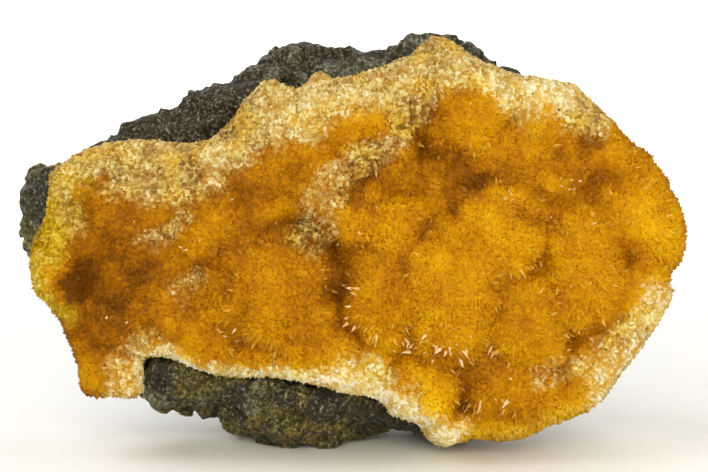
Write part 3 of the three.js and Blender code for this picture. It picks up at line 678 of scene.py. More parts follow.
def paleness(points):
    """1 on the pale blocky rims and ridges, 0 on the golden sprays."""
    wander = layered_noise(points, *PALE_NOISE) * PALE_RAGGED
    band_foot = np.interp(points[:, 0], *np.array(PALE_BAND_FOOT).T)
    pale = smooth_step(points[:, 1] + wander - band_foot, *PALE_BAND_FADE)
    for half_width, strength, path in PALE_RIDGES:
        distance = distance_to_path(path, points, False)
        inside = half_width - distance + wander * 0.8
        pale = np.maximum(pale, strength * smooth_step(inside, *PALE_RIDGE_FADE))
    distance = distance_to_path(COARSE_OUTLINE, points, True)
    places, widths = np.array(FOOT_RIM).T
    foot_rim = (points[:, 0] > places[0]) & (points[:, 0] < places[-1]) & (points[:, 1] < FOOT_RIM_TOP)
    foot_width = np.interp(points[:, 0], places, widths)
    inside = foot_width - distance + wander * 0.7
    pale = np.maximum(pale, foot_rim * smooth_step(inside, *FOOT_RIM_FADE))
    right_rim = smooth_step(points[:, 0], *RIGHT_RIM_START) * smooth_step(points[:, 1], *RIGHT_RIM_TOP)
    right_rim = right_rim * (points[:, 1] > RIGHT_RIM_FOOT)
    inside = RIGHT_RIM_WIDTH - distance + wander * 1.5
    return np.maximum(pale, right_rim * (RIGHT_RIM_SHARE * smooth_step(inside, *RIGHT_RIM_FADE)))


def lemon_tint(points):
    """1 on the lemon-yellow rims on the left and at the lower right, 0 elsewhere."""
    across, up = points[:, 0], points[:, 1]
    distance = distance_to_path(COARSE_OUTLINE, points, True)
    distance = distance + layered_noise(points, *LEMON_NOISE) * LEMON_RAGGED
    upwards = smooth_step(up, *LEMON_LEFT_FOOT) * smooth_step(up, *LEMON_LEFT_TOP)
    width = LEMON_LEFT_WIDTH + LEMON_LEFT_WIDENS * smooth_step(up, *LEMON_LEFT_WIDER)
    left = smooth_step(across, *LEMON_LEFT) * upwards * smooth_step(width - distance, 0, 3.5)
    low_right = smooth_step(across, *LEMON_RIGHT) * smooth_step(up, *LEMON_RIGHT_TOP)
    right = LEMON_RIGHT_SHARE * low_right * smooth_step(LEMON_RIGHT_WIDTH - distance, -0.5, 2.5)
    return np.maximum(left, right)


def relief_above_surroundings(points):
    """How far the crust stands above its surroundings: positive on sprays, negative between them."""
    columns = np.arange(*CAVITY_COLUMNS, CAVITY_STEP)
    rows = np.arange(*CAVITY_ROWS, CAVITY_STEP)
    u, v = np.meshgrid(columns, rows)
    grid = spray_shape(np.stack([u.ravel(), v.ravel()], axis=1))[0].reshape(u.shape)
    reach = int(3 * CAVITY_REACH / CAVITY_STEP)
    kernel = np.exp(-0.5 * (np.arange(-reach, reach + 1) * CAVITY_STEP / CAVITY_REACH) ** 2)
    kernel /= kernel.sum()

    def blur(line):
        return np.convolve(np.pad(line, reach, "edge"), kernel, "valid")

    relief = grid - np.apply_along_axis(blur, 1, np.apply_along_axis(blur, 0, grid))
    column = np.clip((points[:, 0] - columns[0]) / CAVITY_STEP, 0, len(columns) - 2)
    row = np.clip((points[:, 1] - rows[0]) / CAVITY_STEP, 0, len(rows) - 2)
    i, j = column.astype(int), row.astype(int)
    a, b = column - i, row - j
    return (relief[j, i] * (1 - a) * (1 - b) + relief[j, i + 1] * a * (1 - b)
            + relief[j + 1, i] * (1 - a) * b + relief[j + 1, i + 1] * a * b)


def new_piece(name, mesh):
    """An object of its own for a mesh, in the scene."""
    piece = bpy.data.objects.new(name, mesh)
    bpy.context.scene.collection.objects.link(piece)
    return piece


def new_mesh(name, vertices, faces, smooth=True):
    """A piece from its points and faces."""
    mesh = bpy.data.meshes.new(name)
    mesh.from_pydata(vertices.tolist(), [], faces)
    mesh.validate()
    if smooth:
        mesh.shade_smooth()
    return new_piece(name, mesh)


def as_finished(piece):
    """A plain mesh of a piece with its modifiers run."""
    depsgraph = bpy.context.evaluated_depsgraph_get()
    return bpy.data.meshes.new_from_object(piece.evaluated_get(depsgraph), depsgraph=depsgraph)


def read_points(mesh, field="co"):
    """Each point's place, or its normal."""
    values = np.zeros(len(mesh.vertices) * 3)
    mesh.vertices.foreach_get(field, values)
    return values.reshape(-1, 3)


def set_attribute(piece, name, values):
    """Gives each point of a piece a number or a direction."""
    kind, field = ("FLOAT_VECTOR", "vector") if values.ndim == 2 else ("FLOAT", "value")
    attribute = piece.data.attributes.new(name, kind, "POINT")
    attribute.data.foreach_set(field, np.ascontiguousarray(values, np.float32).ravel())


def read_attribute(piece, name):
    """The number that each point of a piece was given."""
    values = np.zeros(len(piece.data.vertices), np.float32)
    piece.data.attributes[name].data.foreach_get("value", values)
    return values


def crust_net():
    """The crust's closed surface: a front of sprays, a wall in rings, a flat back."""
    rim = smooth_loop(CRUST_OUTLINE, NET_SPACING)
    rim = grow_outline(rim, layered_noise(rim, *RIM_NOISE)[:, None] * RIM_RAGGED - RIM_INSET)
    front = np.vstack([rim, scatter_inside(rim, NET_SPACING, 3)])
    height, grow, bright, edge = spray_shape(front)
    height = height + layered_noise(front, *FRONT_NOISE) * FRONT_RAGGED
    rows = [np.column_stack([front, height])]
    top = height[:len(rim)]
    foot = evenly_along(grow_outline(smooth_loop(CRUST_OUTLINE, FOOT_SPACING), -RIM_UNDERCUT), len(rim))
    foot_height = bed_height(foot) - SET_IN_ROCK
    for share in WALL_RINGS:
        ring = rim + (foot - rim) * share ** WALL_BEND
        ring = grow_outline(ring, layered_noise(ring + share * 7, *WALL_NOISE)[:, None] * WALL_RAGGED)
        rows.append(np.column_stack([ring, top + (foot_height - top) * share]))
    back = scatter_inside(foot, BACK_SPACING, 8)
    rows.append(np.column_stack([back, bed_height(back) - SET_IN_ROCK]))

    faces = net_triangles(front, len(rim)).tolist()
    upper = np.arange(len(rim))
    turn = np.roll(upper, -1)
    for level in range(len(WALL_RINGS)):
        lower = len(front) + level * len(rim) + np.arange(len(rim))
        faces += np.stack([upper, upper[turn], lower[turn], lower], axis=1).tolist()
        upper = lower
    numbers = np.concatenate([upper, upper[-1] + 1 + np.arange(len(back))])
    back_faces = net_triangles(np.vstack([foot, back]), len(foot))
    faces += numbers[back_faces][:, ::-1].tolist()
    return np.vstack(rows), faces, grow, bright, edge


def make_crust_body():
    """The closed body of the crust, which the crystals stand on, with what they need to know."""
    vertices, faces, grow, bright, edge = crust_net()
    crust = new_mesh("crust_body", stand_up(vertices), faces)
    flat = vertices[:, :2]
    front = np.arange(len(vertices)) < len(grow)
    back = (vertices[:, 2] < bed_height(flat) + BACK_ZONE).astype(float)
    rim_distance = distance_to_path(COARSE_OUTLINE, flat, True)
    from_rim = smooth_step(rim_distance, *RIM_ZONE)
    pale = paleness(flat)

    normals = read_points(crust.data, "normal")
    spread = normals.copy()
    spread[front] = turn_up(grow) * FOLLOW_SPRAY + normals[front] * FOLLOW_SURFACE
    spread /= np.linalg.norm(spread, axis=1)[:, None]
    lying = spread - BLADE_LIE * (spread @ OUTWARDS)[:, None] * OUTWARDS
    set_attribute(crust, "grow", spread)
    set_attribute(crust, "lying", lying / np.linalg.norm(lying, axis=1)[:, None])
    set_attribute(crust, "soft", normals)

    relief = np.where(front, relief_above_surroundings(flat), 0.0)
    brightness = np.zeros(len(vertices))
    brightness[front] = bright
    low_rim = smooth_step(rim_distance, *FOOT_LIGHT_DEPTH) * (flat[:, 0] > FOOT_LIGHT_START)
    low_rim = low_rim * smooth_step(flat[:, 1], *FOOT_LIGHT_TOP)
    # The relief paints light on raised sprays and shade between them into the tone
    tone_and_painted_shading = TONE_START + PAINTED_SHADING_OF_RELIEF * np.clip(relief, *RELIEF_LIMITS) + brightness
    tone_and_painted_shading = tone_and_painted_shading + layered_noise(flat, *TONE_NOISE) * TONE_RAGGED + FOOT_LIGHT * low_rim * pale
    set_attribute(crust, "tone_and_painted_shading", np.clip(tone_and_painted_shading, 0, 1.2))
    set_attribute(crust, "pale", pale * (1 - back))
    set_attribute(crust, "lemon", lemon_tint(flat))
    set_attribute(crust, "bare", back)

    by_edge = np.ones(len(vertices))
    by_edge[front] = edge
    steep = smooth_step(1 - normals @ OUTWARDS, *STEEP)
    downwards = smooth_step(-spread @ UPWARDS, *DOWNWARDS)
    on_right = smooth_step(flat[:, 0], *RIM_POINTS_START) * (flat[:, 1] > RIM_POINTS_FOOT)
    set_attribute(crust, "reach", 0.85 + 0.15 * by_edge)
    set_attribute(crust, "toothed", by_edge * (0.3 + 0.7 * steep) * (0.3 + 0.7 * downwards) * from_rim)
    set_attribute(crust, "inner", smooth_step(rim_distance, *INNER_ZONE))
    set_attribute(crust, "scalloped", on_right * (1 - from_rim))
    return crust


def mark_covers(crust):
    """Where each kind of crystal stands on the crust, from 0 for nowhere to 1 for everywhere."""
    flat = lie_down(read_points(crust.data))
    pale, bare, toothed, lemon, inner = (
        read_attribute(crust, name) for name in ("pale", "bare", "toothed", "lemon", "inner"))
    set_attribute(crust, "golden", (1 - pale * 0.7) * (1 - bare))
    set_attribute(crust, "grainy", pale * (1 - bare))
    set_attribute(crust, "toothed_edge", toothed * (1 - pale) * (1 - bare))
    set_attribute(crust, "broad", (1 - pale) * (1 - bare))
    set_attribute(crust, "bladed", np.maximum(pale * 0.4, lemon) * inner * (1 - bare))
    set_attribute(crust, "glinting", near_places(flat, CLEAR_PLACES, GLINTS_ELSEWHERE) * inner * (1 - bare))
    set_attribute(crust, "pale_toothed", near_places(flat, PALE_TEETH_PLACES))
    set_attribute(crust, "speckled", 1 - bare)


class NodeTree:
    """A short way to write node trees: each add() makes a node, sets it up and links it."""

    def __init__(self, tree):
        self.tree = tree

    @staticmethod
    def find(sockets, name):
        if isinstance(name, int):
            return sockets[name]
        return next(socket for socket in sockets if socket.name == name and socket.enabled)

    def feed(self, node, inputs):
        """Links or sets a node's inputs, by name or by number."""
        for name, value in inputs.items():
            socket = self.find(node.inputs, name)
            if isinstance(value, bpy.types.NodeSocket):
                self.tree.links.new(value, socket)
            else:
                socket.default_value = value

    def add(self, kind, inputs=None, **settings):
        node = self.tree.nodes.new(kind)
        for name, value in settings.items():
            setattr(node, name, value)
        self.feed(node, inputs or {})
        return node

    def math(self, operation, first, second=0.0, clamp=False):
        node = self.add("ShaderNodeMath", {0: first, 1: second}, operation=operation, use_clamp=clamp)
        return node.outputs[0]

    def plus(self, first, *others):
        for value in others:
            first = self.math("ADD", first, value)
        return first

    def times(self, first, *others):
        for value in others:
            first = self.math("MULTIPLY", first, value)
        return first

    def attribute(self, name, output="Fac"):
        return self.add("ShaderNodeAttribute", attribute_name=name).outputs[output]

    def noise(self, place, scale, detail, roughness=0.5, distortion=0.0):
        inputs = {"Vector": place, "Scale": scale, "Detail": detail,
                  "Roughness": roughness, "Distortion": distortion}
        return self.add("ShaderNodeTexNoise", inputs).outputs[0]

    def rescale(self, value, low, high, start=0.0, end=1.0):
        """The value moved from one range (low, high) to another (start, end)."""
        inputs = {"Value": value, "From Min": low, "From Max": high, "To Min": start, "To Max": end}
        return self.add("ShaderNodeMapRange", inputs).outputs[0]

    def around_zero(self, value, width):
        """A value from 0 to 1, moved to both sides of 0 and given a width."""
        return self.times(self.math("SUBTRACT", value, 0.5), width)

    def ramp(self, factor, stops):
        """Colours that follow a value, from a list of places on the ramp and colours."""
        node = self.add("ShaderNodeValToRGB", {"Fac": factor})
        elements = node.color_ramp.elements
        while len(elements) < len(stops):
            elements.new(0.5)
        for element, (position, colour) in zip(elements, stops):
            element.position = position
            element.color = (*colour, 1)
        return node.outputs["Color"]

    def mix(self, factor, first, second):
        """A colour between two colours."""
        return self.add("ShaderNodeMix", {0: factor, 6: first, 7: second}, data_type="RGBA").outputs[2]


def scatter_tree():
    """Crystals stood on a surface: closest spacing, sizes, lean, and the part of it they cover."""
    tree = bpy.data.node_groups.new("Stand crystals", "GeometryNodeTree")
    sockets = [
        ("Surface", "NodeSocketGeometry"), ("Crystal", "NodeSocketObject"),
        ("Finish", "NodeSocketMaterial"), ("Cover", "NodeSocketString"), ("Along", "NodeSocketString"),
        ("Spacing", "NodeSocketFloat"), ("Density", "NodeSocketFloat"),
        ("Narrowest", "NodeSocketFloat"), ("Widest", "NodeSocketFloat"),
        ("Shortest", "NodeSocketFloat"), ("Longest", "NodeSocketFloat"), ("Lean", "NodeSocketFloat"),
        ("From", "NodeSocketFloat"), ("To", "NodeSocketFloat"), ("Seed", "NodeSocketInt"),
    ]
    for name, kind in sockets:
        tree.interface.new_socket(name, in_out="INPUT", socket_type=kind)
    tree.interface.new_socket("Crystals", in_out="OUTPUT", socket_type="NodeSocketGeometry")
    make = NodeTree(tree)
    given = tree.nodes.new("NodeGroupInput").outputs

    def named(name, kind="FLOAT"):
        return make.add("GeometryNodeInputNamedAttribute", {"Name": name}, data_type=kind).outputs[0]

    def random(low, high, salt, kind="FLOAT"):
        seed = make.plus(given["Seed"], salt)
        node = make.add("FunctionNodeRandomValue", {"Min": low, "Max": high, "Seed": seed}, data_type=kind)
        return make.find(node.outputs, "Value")

    place = make.add("ShaderNodeSeparateXYZ", {0: make.add("GeometryNodeInputPosition").outputs[0]})
    across = place.outputs[0]
    above = make.add("FunctionNodeCompare", {0: across, 1: given["From"]}, operation="GREATER_EQUAL")
    below = make.add("FunctionNodeCompare", {0: across, 1: given["To"]}, operation="LESS_THAN")
    both = {0: above.outputs[0], 1: below.outputs[0]}
    chosen = make.add("FunctionNodeBooleanMath", both, operation="AND")
    points = make.add("GeometryNodeDistributePointsOnFaces", {
        "Mesh": given["Surface"], "Selection": chosen.outputs[0], "Distance Min": given["Spacing"],
        "Density Max": given["Density"], "Density Factor": named(given["Cover"]), "Seed": given["Seed"],
    }, distribute_method="POISSON")
    lean = make.add("ShaderNodeVectorMath", {
        0: random((-1, -1, -1), (1, 1, 1), 11, "FLOAT_VECTOR"), "Scale": given["Lean"],
    }, operation="SCALE")
    direction = make.add("ShaderNodeVectorMath", {
        0: named(given["Along"], "FLOAT_VECTOR"), 1: lean.outputs[0],
    }, operation="ADD")
    aligned = make.add("FunctionNodeAlignRotationToVector", {"Vector": direction.outputs[0]}, axis="Z")
    spin = make.add("FunctionNodeAxisAngleToRotation", {
        "Axis": (0, 0, 1), "Angle": random(0.0, math.tau, 23),
    })
    turned = make.add("FunctionNodeRotateRotation", {
        "Rotation": aligned.outputs[0], "Rotate By": spin.outputs[0],
    }, rotation_space="LOCAL")
    width = random(given["Narrowest"], given["Widest"], 37)
    length = make.times(random(given["Shortest"], given["Longest"], 41), named("reach"))
    size = make.add("ShaderNodeCombineXYZ", {0: width, 1: width, 2: length})
    stored = make.add("GeometryNodeStoreNamedAttribute", {
        "Geometry": points.outputs["Points"], "Name": "grain", "Value": random(0.0, 1.0, 53),
    }, data_type="FLOAT", domain="POINT")
    crystal = make.add("GeometryNodeObjectInfo", {"Object": given["Crystal"]})
    standing = make.add("GeometryNodeInstanceOnPoints", {
        "Points": stored.outputs["Geometry"], "Instance": crystal.outputs["Geometry"],
        "Rotation": turned.outputs[0], "Scale": size.outputs[0],
    })
    real = make.add("GeometryNodeRealizeInstances", {"Geometry": standing.outputs[0]})
    finished = make.add("GeometryNodeSetMaterial", {
        "Geometry": real.outputs[0], "Material": given["Finish"],
    })
    make.add("NodeGroupOutput", {0: finished.outputs[0]})
    return tree


def stand_crystals(name, crystal, finish, cover, along, spacing, density, widths, lengths, lean, seed,
                   between=(-1000, 1000)):
    """Stands crystals of one kind on the crust, in millimetres, as a finished piece of their own.

    The density is how many there may be to a square millimetre.
    """
    helper = new_piece(name, crust.data)
    modifier = helper.modifiers.new("Crystals", "NODES")
    modifier.node_group = tree
    values = {
        "Crystal": crystal, "Finish": finish, "Cover": cover, "Along": along, "Spacing": spacing * MM,
        "Density": density / MM ** 2, "Narrowest": widths[0] * MM, "Widest": widths[1] * MM,
        "Shortest": lengths[0] * MM, "Longest": lengths[1] * MM, "Lean": lean,
        "From": between[0] * MM, "To": between[1] * MM, "Seed": seed,
    }
    sockets = {item.name: item.identifier for item in tree.interface.items_tree if item.in_out == "INPUT"}
    for key, value in values.items():
        modifier[sockets[key]] = value
    bpy.context.view_layer.update()
    mesh = as_finished(helper)
    bpy.data.objects.remove(helper)
    mesh.name = name
    finish_piece(new_piece(name, mesh), "calcite_crust")


def dogtooth_crystal(name, girdle, clearness):
    """A unit scalenohedron: a three-fold point over a zigzag girdle, and a short root."""
    vertices = [(0, 0, 1)]
    for corner in range(6):
        angle = math.tau * corner / 6
        radius, level = (0.5, girdle) if corner % 2 else (0.4, girdle + 0.14)
        vertices.append((radius * math.cos(angle), radius * math.sin(angle), level))
    vertices.append((0, 0, -0.35))
    faces = []
    for corner in range(6):
        here, after = 1 + corner, 1 + (corner + 1) % 6
        faces += [(0, here, after), (7, after, here)]
    crystal = new_mesh(name, np.array(vertices, float), faces, smooth=False)
    rise = np.clip(np.array(vertices, float)[:, 2], 0, 1)
    set_attribute(crystal, "tip", rise)
    set_attribute(crystal, "clear", rise * clearness)
    return crystal


def block_crystal():
    """A unit rhombohedron, the blocky form of the pale grains."""
    vertices = []
    for x, y, z in itertools.product((-0.5, 0.5), repeat=3):
        vertices.append((x + 0.18 * z, y + 0.18 * x, z + 0.14 * y))
    faces = [(0, 1, 3, 2), (4, 6, 7, 5), (0, 4, 5, 1), (2, 3, 7, 6), (0, 2, 6, 4), (1, 5, 7, 3)]
    crystal = new_mesh("block", np.array(vertices, float), faces, smooth=False)
    set_attribute(crystal, "tip", np.clip(np.array(vertices, float)[:, 2] + 0.5, 0, 1))
    return crystal


def calcite_colour_group():
    """Calcite's colour from its tone with painted light and shade, how pale the place is, and how far up a
    crystal.
    """
    group = bpy.data.node_groups.new("Calcite colour", "ShaderNodeTree")
    group.interface.new_socket("Colour", in_out="OUTPUT", socket_type="NodeSocketColor")
    group.interface.new_socket("Roughness", in_out="OUTPUT", socket_type="NodeSocketFloat")
    make = NodeTree(group)
    coordinates = make.add("ShaderNodeTexCoord").outputs["Object"]
    cloud = make.noise(coordinates, 190.0, 3.0)
    patches = make.noise(coordinates, 420.0, 2.0)
    grain, pale, clear = (make.attribute(name) for name in ("grain", "pale", "clear"))
    tone_and_painted_shading, tip = make.attribute("tone_and_painted_shading"), make.attribute("tip")

    # The gold follows the tone with its painted light and shade, and clouds and single crystals vary it.
    # Each crystal is painted a little lighter towards its root, against the shade between crystals,
    # and a clear crystal lighter towards its tip
    rise = make.plus(make.times(tip, -0.03), make.times(clear, 0.06))
    depth = make.plus(tone_and_painted_shading, make.around_zero(cloud, 0.2), make.around_zero(grain, 0.18), rise)
    golden = make.ramp(make.times(depth, 0.75), GOLDEN)

    # The pale grains vary more, from one to the next and in patches
    speckle = make.plus(make.around_zero(tone_and_painted_shading, 0.5), make.around_zero(grain, 0.55),
                        make.around_zero(patches, 0.65), make.around_zero(cloud, 0.5))
    cream = make.ramp(make.plus(speckle, 0.52), CREAM)
    yellow = make.ramp(make.plus(speckle, 0.52), YELLOW)
    cream = make.mix(make.rescale(cloud, 0.47, 0.63, end=0.75), cream, yellow)
    lemon = make.ramp(make.plus(speckle, 0.5), LEMON)
    with_lemon = make.mix(make.attribute("lemon"), golden, lemon)

    # Where the crust is half pale, single crystals and patches are either golden or pale
    mottle = make.plus(make.around_zero(grain, 0.5), make.around_zero(patches, 1.5),
                       make.around_zero(cloud, 1.8))
    middle = make.times(pale, make.math("SUBTRACT", 1.25, pale), 3.0)
    mixed_in = make.math("ADD", pale, make.times(mottle, middle), clamp=True)
    whole = make.mix(mixed_in, with_lemon, cream)

    # A few of the clear crystals have a clear tip
    rare = make.math("POWER", grain, 3.0)
    tipped = make.times(clear, make.plus(make.times(rare, 0.7), 0.08))
    roughness = make.plus(make.times(grain, 0.2), 0.22)
    make.add("NodeGroupOutput", {"Colour": make.mix(tipped, whole, CLEAR_TIP), "Roughness": roughness})
    return group


def soft_facets_group():
    """Facets whose shading leans towards the smooth surface that the crystals stand on."""
    group = bpy.data.node_groups.new("Soft facets", "ShaderNodeTree")
    group.interface.new_socket("Facets", in_out="INPUT", socket_type="NodeSocketFloat")
    group.interface.new_socket("Normal", in_out="OUTPUT", socket_type="NodeSocketVector")
    make = NodeTree(group)
    given = group.nodes.new("NodeGroupInput").outputs
    smooth = make.attribute("soft", "Vector")
    facet = make.add("ShaderNodeNewGeometry").outputs["Normal"]
    mixed = make.add("ShaderNodeMix", {0: given["Facets"], 4: smooth, 5: facet}, data_type="VECTOR")
    level = make.add("ShaderNodeVectorMath", {0: mixed.outputs[1]}, operation="NORMALIZE")
    make.add("NodeGroupOutput", {"Normal": level.outputs[0]})
    return group


def new_material(name):
    """A material, its tree and its shader."""
    material = bpy.data.materials.new(name)
    material.use_nodes = True
    return material, NodeTree(material.node_tree), material.node_tree.nodes["Principled BSDF"]


def calcite_material(name, facets, scatter, shine):
    """Calcite: how much its facets show, how far light goes into it, and how much it shines."""
    material, make, shader = new_material(name)
    colours = make.add("ShaderNodeGroup", node_tree=calcite_colours)
    normal = make.add("ShaderNodeGroup", {"Facets": facets}, node_tree=soft_facets)
    make.feed(shader, {
        "Base Color": colours.outputs["Colour"], "Roughness": colours.outputs["Roughness"],
        "Normal": normal.outputs["Normal"], "IOR": CALCITE_IOR, "Specular IOR Level": shine,
        "Subsurface Weight": scatter, "Subsurface Radius": SCATTER_COLOUR,
        "Subsurface Scale": SCATTER_DEPTH * MM,
    })
    return material


def glint_material(name, colour, shine, roughness):
    """Clear single crystals and pale teeth, whose pale colour is partly their own and partly a painted
    glint, or the dark specks.
    """
    material, make, shader = new_material(name)
    darker = tuple(part * share for part, share in zip(colour, GLINT_DARKER))
    make.feed(shader, {
        "Base Color": make.ramp(make.attribute("grain"), [(0.0, darker), (1.0, colour)]),
        "Roughness": roughness, "Specular IOR Level": shine, "IOR": CALCITE_IOR,
    })
    return material


def rock_material():
    """Fine dark rock, olive at the foot and on the left, and the stains on it."""
    material, make, shader = new_material("dark_volcanic_rock")
    coordinates = make.add("ShaderNodeTexCoord").outputs["Object"]
    place = make.add("ShaderNodeSeparateXYZ", {0: coordinates}).outputs
    fine = make.noise(coordinates, 1500.0, 6.0, 0.75)
    broad = make.noise(coordinates, 170.0, 4.0, 0.6)
    ridges = make.noise(coordinates, 620.0, 4.0, 0.6, 0.6)
    mild = make.add("ShaderNodeMix", {"Factor": 0.15, "A": fine, "B": ridges}).outputs[0]
    # The fine noise also raises the bump: the rock is painted darker in its pits and lighter, as painted
    # highlights, on its ridges, over its own grain
    dark = make.ramp(fine, DARK)
    olive = make.ramp(mild, OLIVE)
    ashen = make.ramp(mild, ASHEN)
    low = make.rescale(place[2], OLIVE_UNDER[0] * MM, OLIVE_UNDER[1] * MM)
    left = make.rescale(place[0], OLIVE_LEFT[0] * MM, OLIVE_LEFT[1] * MM)
    patch = make.rescale(broad, 0.38, 0.50)
    stain = make.times(make.math("MAXIMUM", low, left), patch)
    colour = make.mix(stain, dark, olive)
    stains = {
        "slate": (make.ramp(fine, SLATE), 0.9), "ochre": (make.ramp(mild, OCHRE), 0.65),
        "ashen": (ashen, 0.6), "film": (ashen, 0.6),
    }
    for name, (ramp, strength) in stains.items():
        colour = make.mix(make.rescale(make.attribute(name), 0.45, 0.7, end=strength), colour, ramp)
    height = make.plus(fine, make.times(ridges, 1.5))
    bump = make.add("ShaderNodeBump", {"Height": height, "Strength": 1.0, "Distance": ROCK_BUMP * MM})
    make.feed(shader, {
        "Base Color": colour, "Roughness": make.rescale(ridges, 0.4, 0.6, 0.7, 0.35),
        "Specular Tint": ROCK_TINT, "Normal": bump.outputs[0],
    })
    return material


def chipped(points, size, seed):
    """Flat broken faces: each cell of a shaken grid has a slope of its own."""
    scaled = points / size
    cell = np.floor(scaled).astype(np.int64)
    total, weights = np.zeros(len(points)), np.zeros(len(points))
    for corner in itertools.product((-1, 0, 1), repeat=3):
        here = cell + corner
        lots = [lattice_noise(here.astype(float), seed + number) for number in range(6)]
        away = scaled - here - 0.5 - np.stack(lots[:3], axis=1) * 0.5
        weight = np.exp(-CHIP_SHARPNESS * (away ** 2).sum(1))
        total += weight * (away * np.stack(lots[3:], axis=1)).sum(1)
        weights += weight
    return total / weights * size


def ease(places, edges, fixed):
    """Each point moved towards the middle of its neighbours, except where it is fixed."""
    counts = np.bincount(edges.ravel(), minlength=len(places))[:, None]
    for _ in range(ROCK_EASINGS):
        total = np.zeros_like(places)
        for axis in range(3):
            total[:, axis] = np.bincount(edges[:, 0], places[edges[:, 1], axis], len(places))
            total[:, axis] += np.bincount(edges[:, 1], places[edges[:, 0], axis], len(places))
        eased = places * (1 - EASING_SHARE) + total / counts * EASING_SHARE
        places = np.where(fixed[:, None], places, eased)
    return places


def make_rock():
    """The rock's solid, with its edges eased, then chipped, pitted and grained."""
    rock = new_piece("rock_slab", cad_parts["matrix_rock"].data.copy())
    remesh = rock.modifiers.new("Even", "REMESH")
    remesh.mode = "VOXEL"
    remesh.voxel_size = ROCK_NET * MM
    mesh = as_finished(rock)
    rock.modifiers.clear()
    rock.data = mesh
    edges = np.zeros(len(mesh.edges) * 2, int)
    mesh.edges.foreach_get("vertices", edges)
    places = read_points(mesh)
    on_foot = places[:, 2] < ROCK_FOOT * MM
    places = ease(places, edges.reshape(-1, 2), on_foot)
    flat = lie_down(places)
    for u, v, radius, across, up, out in ROCK_NUDGES:
        places = places + turn_up(np.outer(bell(flat, u, v, radius), (across, up, out))) * MM
    mesh.vertices.foreach_set("co", places.ravel())
    mesh.update()

    spots = places / MM
    push = ROCK_FILL + chipped(spots * COARSE_CHIP_SQUASH, *COARSE_CHIPS) * COARSE_CHIP_DEPTH
    push = push + chipped(spots, *FINE_CHIPS) * FINE_CHIP_DEPTH
    push = push - np.abs(layered_noise(spots, *PIT_NOISE)) * PIT_DEPTH
    push = push + lattice_noise(spots / GRAIN_SIZE, 81) * GRAIN_DEPTH
    places = places + read_points(mesh, "normal") * push[:, None] * MM * ~on_foot[:, None]
    places[:, 2] = np.maximum(places[:, 2], 0)
    mesh.vertices.foreach_set("co", places.ravel())
    mesh.update()
    mesh.shade_smooth()

    wander = np.stack([layered_noise(spots, *noise) for noise in STAIN_NOISES], axis=1)
    facing = lie_down(places)[:, :2] + wander * STAIN_RAGGED
    stained = {"ochre": OCHRE_PLACES, "ashen": ASHEN_PLACES, "slate": SLATE_PLACES, "film": FILM_PLACES}
    for name, listed in stained.items():
        set_attribute(rock, name, near_places(facing, listed, spread=STAIN_SPREAD))
    return rock


def make_stage():
    """A white sweep: a floor that curves up into a wall behind."""
    profile = [(SWEEP_FRONT, 0.0), (SWEEP_BEND, 0.0)]
    for step in range(1, SWEEP_STEPS + 1):
        angle = math.pi / 2 * step / SWEEP_STEPS
        profile.append((SWEEP_BEND * (1 + math.sin(angle)), SWEEP_BEND * (1 - math.cos(angle))))
    profile.append((2 * SWEEP_BEND, SWEEP_HEIGHT))
    vertices = [(x, y, z) for y, z in profile for x in (-SWEEP_HALF_WIDTH, SWEEP_HALF_WIDTH)]
    faces = [(2 * k, 2 * k + 1, 2 * k + 3, 2 * k + 2) for k in range(len(profile) - 1)]
    sweep = new_mesh("white_sweep", np.array(vertices), faces)
    material, make, shader = new_material("white_paper")
    make.feed(shader, {"Base Color": (0.9, 0.9, 0.9, 1), "Roughness": 0.6})
    sweep.data.materials.append(material)


def add_light(name, place, size, power, colour=(1, 1, 1), aim=LIGHT_AIM):
    """A soft rectangular light, with its places and size in metres."""
    data = bpy.data.lights.new(name, "AREA")
    data.shape = "RECTANGLE"
    data.size, data.size_y = size
    data.energy = power
    data.color = colour
    light = new_piece(name, data)
    light.location = place
    light.rotation_euler = (Vector(aim) - Vector(place)).to_track_quat("-Z", "Y").to_euler()


def light_scene():
    """A broad warm light in front, weaker ones around it, and a little light from everywhere."""
    add_light("front", (0, -0.8, 0.36), (0.7, 0.4), 4.85, (1, 0.955, 0.74))
    add_light("left", (-0.5, -0.5, 0.5), (0.4, 0.4), 0.9)
    add_light("right", (0.55, -0.5, 0.15), (0.4, 0.4), 1.7, (1, 1, 0.93))
    add_light("back", (0.1, 0.3, 0.7), (0.4, 0.2), 0.65)
    add_light("upper_left", (-0.4, -0.05, 0.55), (0.4, 0.5), 2.0, (0.96, 0.98, 1))
    add_light("upper_right", (0.4, -0.05, 0.55), (0.4, 0.5), 0.95, (1, 0.97, 0.93))
    add_light("sweep", (0, 0.5, 0.6), (1.6, 0.3), 11, (1, 0.97, 0.9), aim=(0, 1.0, 0.25))
    world = bpy.data.worlds.new("studio")
    world.use_nodes = True
    background = world.node_tree.nodes["Background"]
    background.inputs["Color"].default_value = WORLD_COLOUR
    background.inputs["Strength"].default_value = WORLD_STRENGTH
    bpy.context.scene.world = world
    bpy.context.scene.view_settings.view_transform = "Standard"


def place_camera():
    """A camera that looks straight at the slab's face."""
    aim = stand_up(np.array([[AIM[0], AIM[1], 0.0]]))[0]
    data = bpy.data.cameras.new("camera")
    data.lens = LENS
    data.sensor_width = SENSOR
    camera = new_piece("camera", data)
    camera.location = aim + OUTWARDS * CAMERA_DISTANCE * MM
    camera.rotation_euler = (math.pi / 2 - LEAN_BACK, 0, 0)
    bpy.context.scene.camera = camera


def finish_piece(piece, node):
    """Says which body a piece rides on, which solid it replaces."""
    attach(piece, "root")
    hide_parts(node)


place_camera()
light_scene()
make_stage()

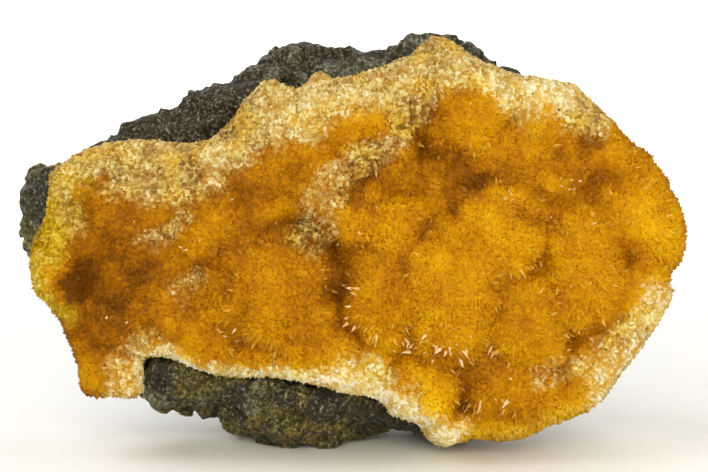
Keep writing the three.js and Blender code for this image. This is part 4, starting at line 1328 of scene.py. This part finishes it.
calcite_colours = calcite_colour_group()
soft_facets = soft_facets_group()
body_finish = calcite_material("calcite_body", facets=1.0, scatter=0.1, shine=0.01)
point_finish = calcite_material("calcite_points", facets=0.3, scatter=0.1, shine=0.03)
grain_finish = calcite_material("calcite_grains", facets=0.6, scatter=0.12, shine=0.2)
tooth_finish = calcite_material("calcite_teeth", facets=0.35, scatter=0.1, shine=0.05)
glint_finish = glint_material("calcite_glints", GLINT, shine=0.35, roughness=0.35)
speck_finish = glint_material("dark_specks", SPECK, shine=0.02, roughness=0.7)

crust = make_crust_body()
crust.data.materials.append(body_finish)
mark_covers(crust)
tree = scatter_tree()
dogtooth = dogtooth_crystal("dogtooth", 0.16, 0)
clear_tooth = dogtooth_crystal("clear_tooth", 0.2, 1)
block = block_crystal()
for number, limits in enumerate(zip(SPRAY_PARTS, SPRAY_PARTS[1:])):
    stand_crystals(f"sprays_{number + 1}", dogtooth, point_finish, "golden", "grow", spacing=0.41,
                   density=20, widths=(0.7, 1.25), lengths=(0.45, 1.0), lean=0.25, seed=11 + number,
                   between=limits)
stand_crystals("rim_grains", block, grain_finish, "grainy", "grow", spacing=0.38, density=16,
               widths=(0.4, 0.95), lengths=(0.35, 0.8), lean=1.0, seed=31)
stand_crystals("rim_blades", dogtooth, grain_finish, "bladed", "lying", spacing=0.6, density=4,
               widths=(0.45, 0.85), lengths=(0.8, 1.5), lean=0.5, seed=33)
stand_crystals("spray_teeth", clear_tooth, tooth_finish, "toothed_edge", "lying", spacing=0.6, density=2.2,
               widths=(0.6, 1.05), lengths=(1.0, 1.9), lean=0.35, seed=41)
stand_crystals("broad_points", dogtooth, tooth_finish, "broad", "grow", spacing=1.0, density=0.25,
               widths=(0.8, 1.3), lengths=(0.9, 1.3), lean=0.5, seed=43)
stand_crystals("rim_points", clear_tooth, tooth_finish, "scalloped", "grow", spacing=0.7, density=2.5,
               widths=(0.7, 1.3), lengths=(0.6, 1.1), lean=0.5, seed=47)
stand_crystals("clear_glints", dogtooth, glint_finish, "glinting", "lying", spacing=0.6, density=0.7,
               widths=(0.35, 0.7), lengths=(0.6, 1.4), lean=0.8, seed=51)
stand_crystals("pale_teeth", dogtooth, glint_finish, "pale_toothed", "lying", spacing=0.7, density=1.6,
               widths=(0.55, 0.95), lengths=(1.3, 2.3), lean=0.35, seed=57)
stand_crystals("dark_specks", block, speck_finish, "speckled", "grow", spacing=2.5, density=0.011,
               widths=(0.1, 0.22), lengths=(0.9, 1.3), lean=0.3, seed=61)
finish_piece(crust, "calcite_crust")
for helper in (dogtooth, clear_tooth, block):
    bpy.data.objects.remove(helper)

rock = make_rock()
rock.data.materials.clear()
rock.data.materials.append(rock_material())
finish_piece(rock, "matrix_rock")
